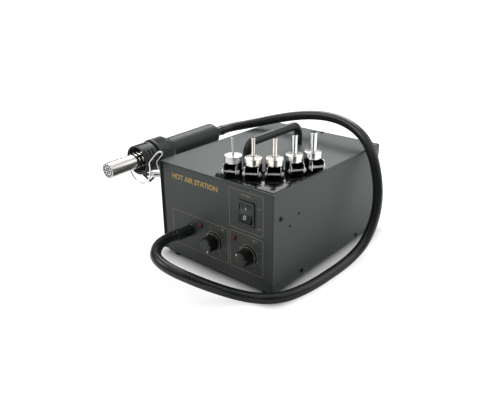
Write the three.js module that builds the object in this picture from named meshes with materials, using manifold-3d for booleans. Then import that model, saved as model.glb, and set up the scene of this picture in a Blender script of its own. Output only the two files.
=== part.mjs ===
// Hot air rework station: a sheet metal case with its controls, air pump and electronics, a wire
// holder, a handpiece on a hose, and five clamp-on nozzles that stand on the case.
// Millimetres. X points right, Y back and Z up. Inside this file the origin is under the middle of
// the panel, on the surface it stands on; the finished group is moved to the middle of its own base.
import * as THREE from "three";
import { mergeVertices } from "three/addons/utils/BufferGeometryUtils.js";
import Module from "manifold-3d";

const wasm = await Module();
wasm.setup();

// ---- Driving dimensions ----
const GAP = 0.3; // air between pieces that touch
const CASE_D = 245;
const CASE_TOP = 135;
const CASE_BOTTOM = 6; // height of the feet
const SHEET = 1.2; // steel sheet of the case
const BEND = 2.5; // outside radius of the cover's long edges
const LEFT = -96.5; // outside faces of the cover
const SIDE = 93.5;
const FRONT = -CASE_D / 2; // front face of the printed panel
const BACK = CASE_D / 2;
const PANEL_T = 1.5;
const WALL_FRONT = FRONT + PANEL_T + GAP; // front face of the chassis front wall
const WALL_INSIDE = WALL_FRONT + SHEET;
const REAR_WALL = BACK - SHEET; // rear face of the chassis rear wall
const FLOOR_TOP = CASE_BOTTOM + SHEET;

const KNOBS = { air: [-1.5, 46.3], heat: [55.5, 46.3] }; // x and z of the two dials
const KNOB_TURN = { air: 144, heat: 36 }; // where each pointer stands, degrees from straight up
const LAMPS = { air: [-23.5, 62.9], heat: [33.6, 63.5] };
const SWITCH = { x: 53, z: 101.3, w: 25, h: 31, proud: 1.8 };
const ROCK = 11.5; // tilt of the rocker either way, degrees
const GLAND = { x: -41.5, z: 51 };

const HOSE_R = 6.75;
const WIRE_R = 1.15;

const HAND = { x: -118.5, y: -116.4, z: 134.9, tilt: 1.44 }; // collar's front face and the axis tilt
const TUBE_R = 9.9;
const GUARD_R = 19.6;
const COLLAR_R = 21;
const GRIP_R = 15.5;
const TIP = -71.5; // along the handpiece, from the collar's front face
const GUARD_FRONT = -25;
const COLLAR_LEN = 30;
const COLLAR_STRAIGHT = 21; // length of the collar's knurled part
const GRIP_END = 120.5;
const TAIL_END = 142;

const PLATE_T = 0.8; // gloss plate under the nozzles
const NOZZLE_BASE = CASE_TOP + GAP + PLATE_T + GAP;
const NOZZLE = { r: 11.1, wall: 0.7, top: 159, ring: 8.6, spout: 23.5, earX: 8.4, screwOut: 13, screwZ: 142 };
// Each nozzle as it was set down: x, y, turn in degrees, spout radius.
const NOZZLES = [
  [12.4, -98.7, 24, 1.4],
  [36.6, -89.9, 30, 2.3],
  [56.7, -74.5, 36, 3.0],
  [66.7, -48.8, 53, 3.8],
  [77.7, -24.6, 60, 4.5],
];

// The gland's boot bends a little as the hose leaves the panel.
const BOOT = { r: 7.6, route: [[-41.5, -123.4, 51], [-41.9, -132, 51], [-43, -140.6, 51], [-44.9, -149.1, 50.9]] };

// Where the hose runs, from the boot to the handpiece. It arches in front of the case, lies along
// its right side, climbs over the rear of the right edge and comes forward to the handpiece.
const HOSE_ROUTE = [
  [-45, -149.8, 50.9], [-46.3, -157.6, 50.8], [-46.2, -165.5, 50.6], [-44.6, -173.3, 50.4], [-41.5, -180.6, 50.2],
  [-37, -187, 50], [-25.2, -198.3, 49.2], [-9, -203.7, 47.7], [8.5, -203, 44.5], [24.5, -196.4, 38.9],
  [37.9, -184.2, 29.6], [48.7, -168.4, 18.4], [59.7, -156.5, 11.3], [76, -145.7, 7.6], [94.9, -133.2, 7.1],
  [107.9, -115.6, 7], [115.4, -90.4, 6.9],
  [119, -65, 6.9], [120.5, -38, 6.9], [121.5, -12, 7.3], [123, 12, 10.8], [125.5, 34, 20.5],
  [127, 50.5, 38], [127, 62, 60.5], [123.5, 69.5, 85], [116.5, 74.5, 109], [105.8, 79.5, 130.8],
  [90.5, 85.3, 148], [70.5, 92.3, 158.3], [45.5, 99.3, 164], [18, 103, 165.5], [-9, 102.5, 163.5],
  [-35.6, 97.7, 158.9], [-61.4, 89.1, 152.6], [-83.6, 77.5, 146.4], [-101.6, 63.1, 141.8],
  [-113, 49.4, 139.5], [-117.6, 37.6, 138.7], [-118.5, 26.1, 138.4],
];

// ---- Finishes ----
const FINISH = {
  powder: { color: 0x2b2e2f, roughness: 0.55, metalness: 0.15 },
  panel: { color: 0x2a2c2d, roughness: 0.5, metalness: 0.1 },
  steel: { color: 0xc9ccd0, roughness: 0.25, metalness: 1 },
  zinc: { color: 0xa9adb0, roughness: 0.4, metalness: 1 },
  gloss: { color: 0x0a0a0b, roughness: 0.08, metalness: 0 },
  plastic: { color: 0x17191a, roughness: 0.5, metalness: 0 },
  rubber: { color: 0x151617, roughness: 0.65, metalness: 0 },
  lamp: { color: 0x5e0d12, roughness: 0.2, metalness: 0 },
  board: { color: 0x1f5a38, roughness: 0.5, metalness: 0 },
  iron: { color: 0x4a4c4f, roughness: 0.5, metalness: 0.8 },
  copper: { color: 0xa9653a, roughness: 0.4, metalness: 0.9 },
  ceramic: { color: 0xd8d2c4, roughness: 0.7, metalness: 0 },
};

// ---- Tools for making shapes ----
const rad = THREE.MathUtils.degToRad;
const vec = (x, y, z) => new THREE.Vector3(x, y, z);

// A closed geometry as a solid that can be joined and cut, with its faces turned outwards.
function solid(geometry) {
  const loose = geometry.index ? geometry.toNonIndexed() : geometry;
  const bare = new THREE.BufferGeometry().setAttribute("position", loose.getAttribute("position"));
  const merged = mergeVertices(bare, 1e-4);
  const index = Array.from(merged.index.array);
  const faces = [];
  for (let i = 0; i < index.length; i += 3) {
    const [a, b, c] = index.slice(i, i + 3);
    if (a !== b && b !== c && c !== a) faces.push([a, b, c]);
  }
  const build = (list) => new wasm.Manifold(new wasm.Mesh({
    numProp: 3,
    vertProperties: new Float32Array(merged.attributes.position.array),
    triVerts: new Uint32Array(list.flat()),
  }));
  const made = build(faces);
  return made.volume() < 0 ? build(faces.map(([a, b, c]) => [a, c, b])) : made;
}

const join = (first, ...rest) => rest.reduce((whole, piece) => whole.add(piece), first);
const cut = (first, ...rest) => rest.reduce((whole, piece) => whole.subtract(piece), first);

function geometryOf(body) {
  const mesh = body.getMesh();
  const stride = mesh.numProp;
  const places = new Float32Array(mesh.numVert * 3);
  for (let i = 0; i < mesh.numVert; i++) {
    places.set(mesh.vertProperties.subarray(i * stride, i * stride + 3), i * 3);
  }
  const geometry = new THREE.BufferGeometry();
  geometry.setAttribute("position", new THREE.BufferAttribute(places, 3));
  geometry.setIndex(new THREE.BufferAttribute(new Uint32Array(mesh.triVerts), 1));
  geometry.computeVertexNormals();
  return geometry;
}

function part(name, body, finish) {
  const mesh = new THREE.Mesh(geometryOf(body), new THREE.MeshStandardMaterial(FINISH[finish]));
  mesh.name = name;
  return mesh;
}

function block(x0, x1, y0, y1, z0, z1) {
  const box = new THREE.BoxGeometry(x1 - x0, y1 - y0, z1 - z0);
  return solid(box.translate((x0 + x1) / 2, (y0 + y1) / 2, (z0 + z1) / 2));
}

// A round bar between two points.
function rod(radius, from, to, sides = 20) {
  const along = to.clone().sub(from);
  const bar = new THREE.CylinderGeometry(radius, radius, along.length(), sides);
  bar.applyQuaternion(new THREE.Quaternion().setFromUnitVectors(vec(0, 1, 0), along.normalize()));
  const middle = from.clone().add(to).multiplyScalar(0.5);
  return solid(bar.translate(middle.x, middle.y, middle.z));
}

const pair = ([a, b]) => new THREE.Vector2(a, b);

// A profile of radius and height, turned about Z, Y or minus Y.
const turnedZ = (profile, sides = 28) =>
  solid(new THREE.LatheGeometry(profile.map(pair), sides).rotateX(Math.PI / 2));
const turnedY = (profile, sides = 28) => solid(new THREE.LatheGeometry(profile.map(pair), sides));
const turnedFront = (profile, sides = 28) =>
  solid(new THREE.LatheGeometry(profile.map(pair), sides).rotateX(Math.PI));

// A flat outline extruded along one axis: (x, y) along Z, (x, z) along Y, or (y, z) along X.
function alongZ(shape, z0, z1, curveSegments = 6) {
  const made = new THREE.ExtrudeGeometry(shape, { depth: z1 - z0, bevelEnabled: false, curveSegments });
  return solid(made.translate(0, 0, z0));
}
function alongY(shape, y0, y1, curveSegments = 6) {
  const made = new THREE.ExtrudeGeometry(shape, { depth: y1 - y0, bevelEnabled: false, curveSegments });
  return solid(made.rotateX(Math.PI / 2).translate(0, y1, 0));
}
function alongX(shape, x0, x1, curveSegments = 6) {
  const made = new THREE.ExtrudeGeometry(shape, { depth: x1 - x0, bevelEnabled: false, curveSegments });
  const turn = new THREE.Matrix4().makeBasis(vec(0, 1, 0), vec(0, 0, 1), vec(1, 0, 0));
  return solid(made.applyMatrix4(turn).translate(x0, 0, 0));
}

const outline = (points) => new THREE.Shape(points.map(pair));

const ring = (radius, sides, turn = 0) =>
  Array.from({ length: sides }, (_, i) => {
    const a = turn + (2 * Math.PI * i) / sides;
    return [radius * Math.cos(a), radius * Math.sin(a)];
  });

// A round section swept along a smooth curve through the points.
function swept(points, radius, sides, steps) {
  const path = new THREE.CatmullRomCurve3(points.map((p) => vec(...p)), false, "centripetal");
  const section = outline(ring(radius, sides));
  return solid(new THREE.ExtrudeGeometry(section, { extrudePath: path, steps, bevelEnabled: false }));
}

// Points on an arc in the plane of X and Z at one y, from angle a to angle b in degrees.
const arcXZ = (x, y, z, radius, a, b, count) =>
  Array.from({ length: count }, (_, i) => {
    const t = rad(a + ((b - a) * i) / (count - 1));
    return [x + radius * Math.cos(t), y, z + radius * Math.sin(t)];
  });

// ---- Case ----
// The holes that the controls need in the front wall and in the printed panel.
function controlHoles() {
  const through = (x, z, radius) => rod(radius, vec(x, FRONT - 1, z), vec(x, WALL_INSIDE + 1, z), 24);
  const { x, z } = SWITCH;
  return [
    through(GLAND.x, GLAND.z, 7.2),
    ...Object.values(KNOBS).map(([kx, kz]) => through(kx, kz, 4.8)),
    ...Object.values(LAMPS).map(([lx, lz]) => through(lx, lz, 3.3)),
    block(x - 11.3, x + 11.3, FRONT - 1, WALL_INSIDE + 1, z - 14.3, z + 14.3),
  ];
}

const INLET = { x: 52, z: 40 };
const FUSE = { x: 10, z: 40 };

// Bottom, front and rear walls bent from one sheet, with flanges inside the cover.
function chassis() {
  const left = LEFT + SHEET + GAP;
  const right = SIDE - SHEET - GAP;
  const top = CASE_TOP - SHEET - GAP;
  const flange = 12;
  const walls = [
    block(left, right, WALL_FRONT, REAR_WALL, CASE_BOTTOM, FLOOR_TOP),
    block(left, right, WALL_FRONT, WALL_INSIDE, CASE_BOTTOM, top),
    block(left, right, REAR_WALL - SHEET, REAR_WALL, CASE_BOTTOM, top),
    block(left, right, WALL_FRONT, WALL_FRONT + flange, top - SHEET, top),
    block(left, right, REAR_WALL - flange, REAR_WALL, top - SHEET, top),
  ];
  for (const [a, b] of [[left, left + SHEET], [right - SHEET, right]]) {
    walls.push(block(a, b, WALL_FRONT, REAR_WALL, CASE_BOTTOM, CASE_BOTTOM + flange));
    walls.push(block(a, b, WALL_FRONT, WALL_FRONT + flange, CASE_BOTTOM, top));
    walls.push(block(a, b, REAR_WALL - flange, REAR_WALL, CASE_BOTTOM, top));
  }
  const standoffs = [[-6, -96], [-6, -36], [78, -96], [78, -36]].map(([x, y]) =>
    rod(3, vec(x, y, CASE_BOTTOM + 0.5), vec(x, y, BOARD_Z - GAP), 12));
  const rearHoles = [
    block(INLET.x - 14.3, INLET.x + 14.3, REAR_WALL - 3, BACK, INLET.z - 11.3, INLET.z + 11.3),
    rod(7.3, vec(FUSE.x, REAR_WALL - 3, FUSE.z), vec(FUSE.x, BACK, FUSE.z), 24),
  ];
  const vents = [84, 94, 104].map((z) => block(-72, -12, REAR_WALL - 3, BACK, z, z + 4));
  return part("chassis", cut(join(...walls, ...standoffs), ...controlHoles(), ...rearHoles, ...vents), "powder");
}

// Top and both sides bent from one sheet. The right side has the spare pair of holder holes.
const HOLDER_HOLES = [[-91, 86], [-73, 96]];
function topCover() {
  const inRight = SIDE - SHEET;
  const inLeft = LEFT + SHEET;
  const roof = CASE_TOP - SHEET;
  const small = 0.5; // inside radius of the bends
  const u = new THREE.Shape();
  u.moveTo(LEFT, CASE_BOTTOM);
  u.lineTo(LEFT, CASE_TOP - BEND);
  u.absarc(LEFT + BEND, CASE_TOP - BEND, BEND, Math.PI, Math.PI / 2, true);
  u.absarc(SIDE - BEND, CASE_TOP - BEND, BEND, Math.PI / 2, 0, true);
  u.lineTo(SIDE, CASE_BOTTOM);
  u.lineTo(inRight, CASE_BOTTOM);
  u.absarc(inRight - small, roof - small, small, 0, Math.PI / 2, false);
  u.absarc(inLeft + small, roof - small, small, Math.PI / 2, Math.PI, false);
  u.lineTo(inLeft, CASE_BOTTOM);
  const holes = HOLDER_HOLES.map(([y, z]) => rod(1.8, vec(SIDE - 5, y, z), vec(SIDE + 5, y, z), 12));
  return part("top_cover", cut(alongY(u, FRONT, BACK, 3), ...holes), "powder");
}

// The printed panel stops short of the cover's left side, which leaves a dark groove there.
function frontPanel() {
  const left = -88.8;
  const right = SIDE - SHEET - GAP;
  const plate = block(left, right, FRONT, FRONT + PANEL_T, CASE_BOTTOM, CASE_TOP - SHEET - GAP);
  return part("front_panel", cut(plate, ...controlHoles()), "panel");
}

function feet() {
  const profile = [[0, 2], [3, 2], [3, 0], [6, 0], [6.7, 1], [6.9, CASE_BOTTOM - GAP], [0, CASE_BOTTOM - GAP]];
  const corners = { front_left: [-1, -1], front_right: [1, -1], rear_left: [-1, 1], rear_right: [1, 1] };
  return Object.entries(corners).map(([name, [sx, sy]]) => {
    const foot = part("foot_" + name, turnedZ(profile, 18), "rubber");
    foot.position.set(sx * 77, sy * 113.5, 0);
    return foot;
  });
}

const HANDLE = { x: 4, front: -62, rear: 49, z: 163.2, r: 5.7, bend: 14 };
function carryHandle() {
  const { x, front, rear, z, r, bend } = HANDLE;
  const bends = (y, from, to) =>
    Array.from({ length: 5 }, (_, i) => {
      const t = rad(from + ((to - from) * i) / 4);
      return [x, y + bend * Math.cos(t), z - bend + bend * Math.sin(t)];
    });
  const path = [
    [x, front, CASE_TOP + GAP], [x, front, CASE_TOP + 8],
    ...bends(front + bend, 180, 90),
    [x, (front + rear) / 2, z],
    ...bends(rear - bend, 90, 0),
    [x, rear, CASE_TOP + 8], [x, rear, CASE_TOP + GAP],
  ];
  return part("carry_handle", swept(path, r, 14, 30), "rubber");
}

// Gloss plate in the front right corner of the top, with a round inner edge behind the nozzles.
function nozzlePlate() {
  const edge = 2.5;
  const [cx, cy, r] = [-9, -16, 73];
  const plate = new THREE.Shape();
  plate.moveTo(1, FRONT + edge);
  plate.lineTo(SIDE - edge, FRONT + edge);
  plate.lineTo(SIDE - edge, -14);
  plate.absarc(cx, cy, r, rad(-5), rad(-80), true);
  const z = CASE_TOP + GAP;
  return part("nozzle_plate", alongZ(plate, z, z + PLATE_T, 16), "gloss");
}

// ---- Front controls ----
function switchHousing() {
  const { x, z, w, h, proud } = SWITCH;
  const face = FRONT - GAP;
  const bezel = block(x - w / 2, x + w / 2, face - proud, face, z - h / 2, z + h / 2);
  const body = block(x - 10.9, x + 10.9, face - 0.5, FRONT + 26, z - 13.9, z + 13.9);
  const well = block(x - 9.9, x + 9.9, face - proud - 1, FRONT + 9.8, z - 11.9, z + 11.9);
  const tabs = [-6, 6].flatMap((dx) => [-7, 7].map((dz) =>
    block(x + dx - 0.4, x + dx + 0.4, FRONT + 25, FRONT + 34, z + dz - 2.4, z + dz + 2.4)));
  return part("switch_housing", join(cut(join(bezel, body), well), ...tabs), "plastic");
}

// Two flat halves that meet in a shallow valley, pressed in at the top.
const ROCKER_AXIS = { y: FRONT + 3, z: SWITCH.z };
function switchRocker() {
  const side = outline([
    [-7, 10.4], [-4.9, 0], [-7, -10.4], [3, -9.3], [5.3, -4], [5.3, 4], [3, 9.3],
  ]);
  const rocker = part("switch_rocker", alongX(side, -9.6, 9.6), "plastic");
  rocker.position.set(SWITCH.x, ROCKER_AXIS.y, ROCKER_AXIS.z);
  rocker.rotation.x = rad(-ROCK);
  return rocker;
}

// A skirted knob with a pointer groove; distances are measured out from the panel's face.
function knob(name) {
  const [x, z] = KNOBS[name];
  const body = turnedFront([
    [0, 14.5], [3.3, 14.5], [3.3, 3.8], [6, 3.8], [6, 0.8], [13, 0.8], [13, 2.2], [12.4, 2.8],
    [10.5, 2.8], [9.8, 16], [9.2, 17], [0, 17],
  ], 28);
  const groove = block(-0.6, 0.6, -18, -16.4, 3.5, 8.6);
  const made = part(name + "_knob", cut(body, groove), "plastic");
  made.position.set(x, FRONT, z);
  made.rotation.y = rad(KNOB_TURN[name] * (name === "air" ? 1 : -1));
  return made;
}

function controlPot(name) {
  const [x, z] = KNOBS[name];
  const back = -WALL_INSIDE + FRONT - GAP; // the body's front, behind the wall, as a distance out
  const pot = part(name + "_control", turnedFront([
    [0, back - 12], [8.4, back - 12], [8.4, back], [4.4, back], [4.4, 2.6], [3.3, 2.6], [3.3, back - 8],
    [0, back - 8],
  ], 16), "zinc");
  const shaft = part(name + "_control_shaft", rod(3, vec(0, 9, 0), vec(0, -14, 0), 16), "steel");
  pot.position.set(x, FRONT, z);
  shaft.position.set(x, FRONT, z);
  return [pot, shaft];
}

function lamp(name) {
  const [x, z] = LAMPS[name];
  const r = 3;
  const dome = Array.from({ length: 4 }, (_, i) => {
    const t = (Math.PI / 2) * (i / 3);
    return [r * Math.cos(t), 0.4 + r * Math.sin(t)];
  });
  const flange = -WALL_INSIDE + FRONT - GAP;
  dome[3][0] = 0;
  const made = part(name + "_lamp", turnedFront([
    [0, flange - 6], [1.5, flange - 6], [1.5, flange - 1.2], [3.8, flange - 1.2], [3.8, flange],
    [r, flange], ...dome,
  ], 12), "lamp");
  made.position.set(x, FRONT, z);
  return made;
}

// The gland that the hose leaves by, and the nut behind the wall that holds it.
function hoseGland() {
  const stem = turnedFront([
    [3, -24], [4.2, -24], [4.2, -14], [6.9, -14], [6.9, GAP], [8.8, GAP], [8.8, 3.2], [3, 3.2], [3, -24],
  ], 20).translate([GLAND.x, FRONT, GLAND.z]);
  const gland = part("hose_gland", join(stem, swept(BOOT.route, BOOT.r, 16, 8)), "rubber");
  const hex = outline(ring(11.5, 6, Math.PI / 6));
  hex.holes.push(new THREE.Path(ring(7.2, 24).map(pair)));
  const nut = part("gland_nut", alongY(hex, 0, 5), "zinc");
  nut.position.set(GLAND.x, WALL_INSIDE + GAP, GLAND.z);
  return [gland, nut];
}

// ---- Inside the case ----
const BOARD_Z = 16;
function controlBoard() {
  const board = block(-12, 84, -102, -30, BOARD_Z, BOARD_Z + 1.6);
  const top = BOARD_Z + 1.4;
  const heatSink = [0, 1, 2, 3].map((i) => block(58 + i * 6, 60 + i * 6, -92, -62, top, top + 26));
  const parts = [
    block(56, 80, -92, -62, top, top + 3),
    rod(7, vec(5, -90, top), vec(5, -90, top + 20), 16),
    rod(7, vec(24, -90, top), vec(24, -90, top + 20), 16),
    block(0, 18, -66, -52, top, top + 15),
    block(26, 44, -66, -52, top, top + 15),
    block(0, 40, -44, -36, top, top + 9),
  ];
  return part("control_board", join(board, ...heatSink, ...parts), "board");
}

const TRAFO = { x: 52, y: 30, z: FLOOR_TOP + GAP };
function transformer() {
  const { x, y, z } = TRAFO;
  const [w, d, h] = [60, 24, 50];
  const core = cut(
    block(x - w / 2, x + w / 2, y - d / 2, y + d / 2, z, z + h),
    block(x - 20, x - 10, y - d, y + d, z + 10, z + 40),
    block(x + 10, x + 20, y - d, y + d, z + 10, z + 40),
  );
  const bobbin = cut(
    block(x - 19.5, x + 19.5, y - 22, y + 22, z + 10.5, z + 39.5),
    block(x - 10.4, x + 10.4, y - d / 2 - GAP, y + d / 2 + GAP, z, z + h),
  );
  return [part("transformer_core", core, "iron"), part("transformer_coil", bobbin, "copper")];
}

// Diaphragm pump: an arm with a magnet is pulled to and fro by the coil and works the bellows.
const PUMP = { x: -45, base: 16, chamberY: 50, bellowsLow: 44, bellowsHigh: 60, pivotY: 8, pivotZ: 64 };
function pumpBase() {
  const { x, base, pivotY, pivotZ } = PUMP;
  const plate = block(x - 32, x + 32, -4, 112, base, base + 3);
  const posts = [-1, 1].flatMap((s) => [4, 104].map((y) =>
    rod(6, vec(x + s * 24, y, FLOOR_TOP + GAP), vec(x + s * 24, y, base + 1), 16)));
  const ears = [-1, 1].map((s) => {
    const [a, b] = s < 0 ? [x - 18, x - 14] : [x + 14, x + 18];
    return block(a, b, pivotY - 6, pivotY + 6, base + 1, pivotZ + 6);
  });
  const bore = rod(2.9, vec(x - 20, pivotY, pivotZ), vec(x + 20, pivotY, pivotZ), 16);
  return part("pump_base", cut(join(plate, ...posts, ...ears), bore), "zinc");
}

function pumpArm() {
  const { x, bellowsHigh, pivotY, pivotZ } = PUMP;
  const low = bellowsHigh + GAP;
  const arm = join(
    rod(2.5, vec(x - 17.5, pivotY, pivotZ), vec(x + 17.5, pivotY, pivotZ), 16),
    rod(4.5, vec(x - 13.5, pivotY, pivotZ), vec(x + 13.5, pivotY, pivotZ), 16),
    block(x - 9, x + 9, pivotY, 88, low, low + 3),
    block(x - 11, x + 11, 84, 92, low - 12, low + 8),
  );
  return part("pump_arm", arm, "zinc");
}

function pumpElectromagnet() {
  const { x, base } = PUMP;
  const low = base + 3 + GAP;
  const core = join(
    block(x - 14, x + 14, 106, 111, low, low + 50),
    block(x - 7, x + 7, 96, 107, low + 36, low + 50),
    block(x - 14, x + 14, 94, 107, low, low + 6),
  );
  const coil = cut(
    block(x - 14, x + 14, 97, 105.7, low + 29, low + 57),
    block(x - 7.3, x + 7.3, 90, 110, low + 35.7, low + 50.3),
  );
  return [part("pump_core", core, "iron"), part("pump_coil", coil, "copper")];
}

function pumpChamber() {
  const { x, base, chamberY, bellowsLow } = PUMP;
  const box = block(x - 22, x + 22, chamberY - 24, chamberY + 24, base + 3 + GAP, bellowsLow - GAP);
  const port = rod(4.2, vec(x, chamberY - 23, 32), vec(x, chamberY - 36, 32), 16);
  const airway = rod(2.5, vec(x, chamberY, 32), vec(x, chamberY - 40, 32), 12);
  const valve = rod(9, vec(x, chamberY, 32), vec(x, chamberY, bellowsLow), 16);
  return part("pump_chamber", cut(join(box, port), airway, valve), "plastic");
}

function pumpBellows() {
  const { x, chamberY, bellowsLow, bellowsHigh } = PUMP;
  const folds = 4;
  const pitch = (bellowsHigh - bellowsLow) / folds;
  const outer = [];
  for (let i = 0; i < folds; i++) {
    outer.push([15, bellowsLow + i * pitch], [18, bellowsLow + (i + 0.5) * pitch]);
  }
  const top = bellowsHigh - 2;
  const profile = [[12, bellowsLow], ...outer, [15, bellowsHigh], [0, bellowsHigh], [0, top], [12, top], [12, bellowsLow]];
  const bellows = part("pump_bellows", turnedZ(profile, 16), "rubber");
  bellows.position.set(x, chamberY, 0);
  return bellows;
}

// Soft tube from the pump's outlet to the inside of the gland.
function airTube() {
  const start = PUMP.chamberY - 36 - GAP;
  const end = FRONT + 24 + GAP;
  const path = [
    [PUMP.x, start, 32], [PUMP.x, start - 14, 32], [PUMP.x - 2, -20, 36], [GLAND.x - 2, -55, 46],
    [GLAND.x, end + 16, GLAND.z], [GLAND.x, end, GLAND.z],
  ];
  return part("air_tube", swept(path, 4.2, 10, 16), "rubber");
}

// ---- Rear wall ----
function mainsInlet() {
  const { x, z } = INLET;
  const face = REAR_WALL + GAP;
  const mouth = face + 2.4;
  const shell = cut(
    join(
      block(x - 17, x + 17, face, mouth, z - 14, z + 14),
      block(x - 14, x + 14, face - 24, face + 1, z - 11, z + 11),
    ),
    block(x - 12, x + 12, face - 18, mouth + 1, z - 8.2, z + 8.2),
  );
  const pins = [[-7, 1.5], [0, -2.5], [7, 1.5]].map(([dx, dz]) =>
    block(x + dx - 1, x + dx + 1, face - 19, face - 5, z + dz - 2, z + dz + 2));
  const tabs = [-7, 0, 7].map((dx) => block(x + dx - 0.4, x + dx + 0.4, face - 32, face - 23, z - 3, z + 3));
  return part("mains_inlet", join(shell, ...pins, ...tabs), "plastic");
}

function fuseHolder() {
  const face = REAR_WALL + GAP;
  const holder = part("fuse_holder", turnedY([
    [0, -30], [4, -30], [7, -26], [7, 0], [9, 0], [9, 2], [6.4, 2], [6.4, -22], [0, -22],
  ], 18), "plastic");
  const capBody = turnedY([[0, -20], [3, -20], [3, -8], [6, -8], [6, 2.3], [7.4, 2.6], [7.4, 5], [0, 5]], 18);
  const cap = part("fuse_cap", cut(capBody, block(-5, 5, 3.8, 6, -0.7, 0.7)), "plastic");
  holder.position.set(FUSE.x, face, FUSE.z);
  cap.position.set(FUSE.x, face, FUSE.z);
  return [holder, cap];
}

// ---- Holder on the left side ----
const TONGUE = { x: -97.6, y: -106.4, along: [-0.785, -0.62], z0: 105.5, z1: 113 };
const onTongue = (t, out) => {
  const [ax, ay] = TONGUE.along;
  return [TONGUE.x + t * ax - out * ay, TONGUE.y + t * ay + out * ax];
};

// A strip on the tongue's line, from t0 to t1 along it and between two distances off it.
function strip(t0, t1, low, high) {
  return outline([onTongue(t0, low), onTongue(t1, low), onTongue(t1, high), onTongue(t0, high)]);
}

function holderBracket() {
  const skin = LEFT - GAP;
  const plate = outline([
    [-98, 80], [-86, 75], [-64, 91], [-66, 105], [-90, TONGUE.z1], [-108.4, TONGUE.z1], [-108.4, TONGUE.z0],
  ]);
  const flange = alongX(plate, skin - 1.5, skin);
  const holes = HOLDER_HOLES.map(([y, z]) => rod(2.1, vec(skin - 4, y, z), vec(skin + 2, y, z), 12));
  const tongue = alongZ(strip(-0.6, 23.5, -0.75, 0.75), TONGUE.z0, TONGUE.z1);
  return part("holder_bracket", cut(join(flange, tongue), ...holes), "steel");
}

// A black three-cornered plate with a window, riveted behind the tongue's end.
function holderGusset() {
  const back = -0.75 - GAP;
  const slab = alongZ(strip(13, 37, back - 1, back), 96, 111);
  const trim = (points) => {
    const shape = outline(points);
    const made = new THREE.ExtrudeGeometry(shape, { depth: 60, bevelEnabled: false });
    const [ax, ay] = TONGUE.along;
    const basis = new THREE.Matrix4().makeBasis(vec(ax, ay, 0), vec(0, 0, 1), vec(ay, -ax, 0));
    return solid(made.translate(0, 0, -30).applyMatrix4(basis).translate(TONGUE.x, TONGUE.y, 0));
  };
  const triangle = trim([[15, 111], [36, 111], [36, 108], [26, 97.5], [15, 108]]);
  const opening = trim([[21.5, 107], [30.5, 107], [26, 101.6]]);
  return part("holder_gusset", slab.intersect(triangle).subtract(opening), "powder");
}

// One bent wire: a hairpin beside the case, a deep cradle for the guard, a run along the far side
// and a shallow cradle under the grip.
function holderWire() {
  const half = GUARD_R + WIRE_R + 0.4;
  const cradleY = -137.9;
  const cradleZ = 123;
  const gripY = -41.4;
  const gripZ = HAND.z + (gripY - HAND.y) * Math.tan(rad(HAND.tilt));
  const rest = GRIP_R + WIRE_R + 0.5;
  const [ex, ey] = onTongue(20, 0.75 + 0.4 + WIRE_R);
  const [mx, my] = onTongue(9, 0.75 + 0.6 + WIRE_R);
  const path = [
    [ex, ey, 109], [mx, my, 109.5], [-99.8, -115.9, 113], [-98.9, -119.6, 118.5], [-96.9, -126, 132.5],
    [-89, -127.7, 140.8], [-82.2, -128.7, 147.2], [-80.9, -129.9, 150.2], [-83.2, -131.9, 151.2],
    [-87, -133.4, 149], [-93, -135.9, 141.5],
    [HAND.x + half, cradleY, 135], [HAND.x + half, cradleY, 129],
    ...arcXZ(HAND.x, cradleY, cradleZ, half, 0, -180, 9),
    [HAND.x - half, cradleY, 129], [HAND.x - half - 0.3, cradleY + 1, 136], [HAND.x - half - 1.4, -133.4, 140.5],
    [HAND.x - half - 2, -126.4, 139.5], [HAND.x - half - 2.2, -114.4, 133], [HAND.x - half - 1.4, -91.4, 127],
    [HAND.x - half + 1, -61.4, 125.5],
    ...arcXZ(HAND.x, gripY, gripZ, rest, 202, 310, 6),
    [-103.5, -46.4, 117], [-100.4, -56.4, 108], [-100.1, -68.4, 102],
  ];
  return part("holder_wire", swept(path, WIRE_R, 8, 64), "steel");
}

// ---- Nozzles ----
// Cup with a spout. Under its rim the wall is open in front, between two ears for the clamp screw.
function nozzle(number, spoutR) {
  const { r, wall, top, ring: band, spout, earX, screwOut, screwZ } = NOZZLE;
  const bore = Math.max(spoutR - 0.5, spoutR * 0.6);
  const cup = turnedZ([
    [r - wall, NOZZLE_BASE], [r, NOZZLE_BASE], [r, top - 0.6], [r - 0.6, top], [spoutR, top],
    [spoutR, top + spout], [bore, top + spout], [bore, top - 0.8], [r - wall, top - 0.8],
    [r - wall, NOZZLE_BASE],
  ], 20);
  const ledge = top - band;
  const opening = block(-earX + 0.8, earX - 0.8, -r - 1, 0, NOZZLE_BASE - 1, ledge);
  const ears = [-1, 1].map((s) => {
    const [a, b] = s < 0 ? [-earX, -earX + 0.8] : [earX - 0.8, earX];
    return block(a, b, -screwOut - 3, -6.2, screwZ - 4.5, ledge);
  });
  const hole = rod(1.8, vec(-r, -screwOut, screwZ), vec(r, -screwOut, screwZ), 12);
  return part("nozzle_" + number, cut(join(cut(cup, opening), ...ears), hole), "steel");
}

function clampScrew(number) {
  const { earX, screwOut, screwZ } = NOZZLE;
  const at = (x) => vec(x, -screwOut, screwZ);
  const shank = rod(1.4, at(-earX - GAP - 0.5), at(earX + 3.4), 10);
  const head = rod(2.6, at(-earX - GAP - 2.3), at(-earX - GAP), 14);
  return part("clamp_screw_" + number, join(head, shank), "steel");
}

function clampNut(number) {
  const { earX, screwOut, screwZ } = NOZZLE;
  const hex = outline(ring(3, 6));
  hex.holes.push(new THREE.Path(ring(1.75, 10).map(pair)));
  const nut = part("clamp_nut_" + number, alongX(hex, 0, 2.2), "steel");
  nut.position.set(earX + GAP, -screwOut, screwZ);
  return nut;
}

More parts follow.
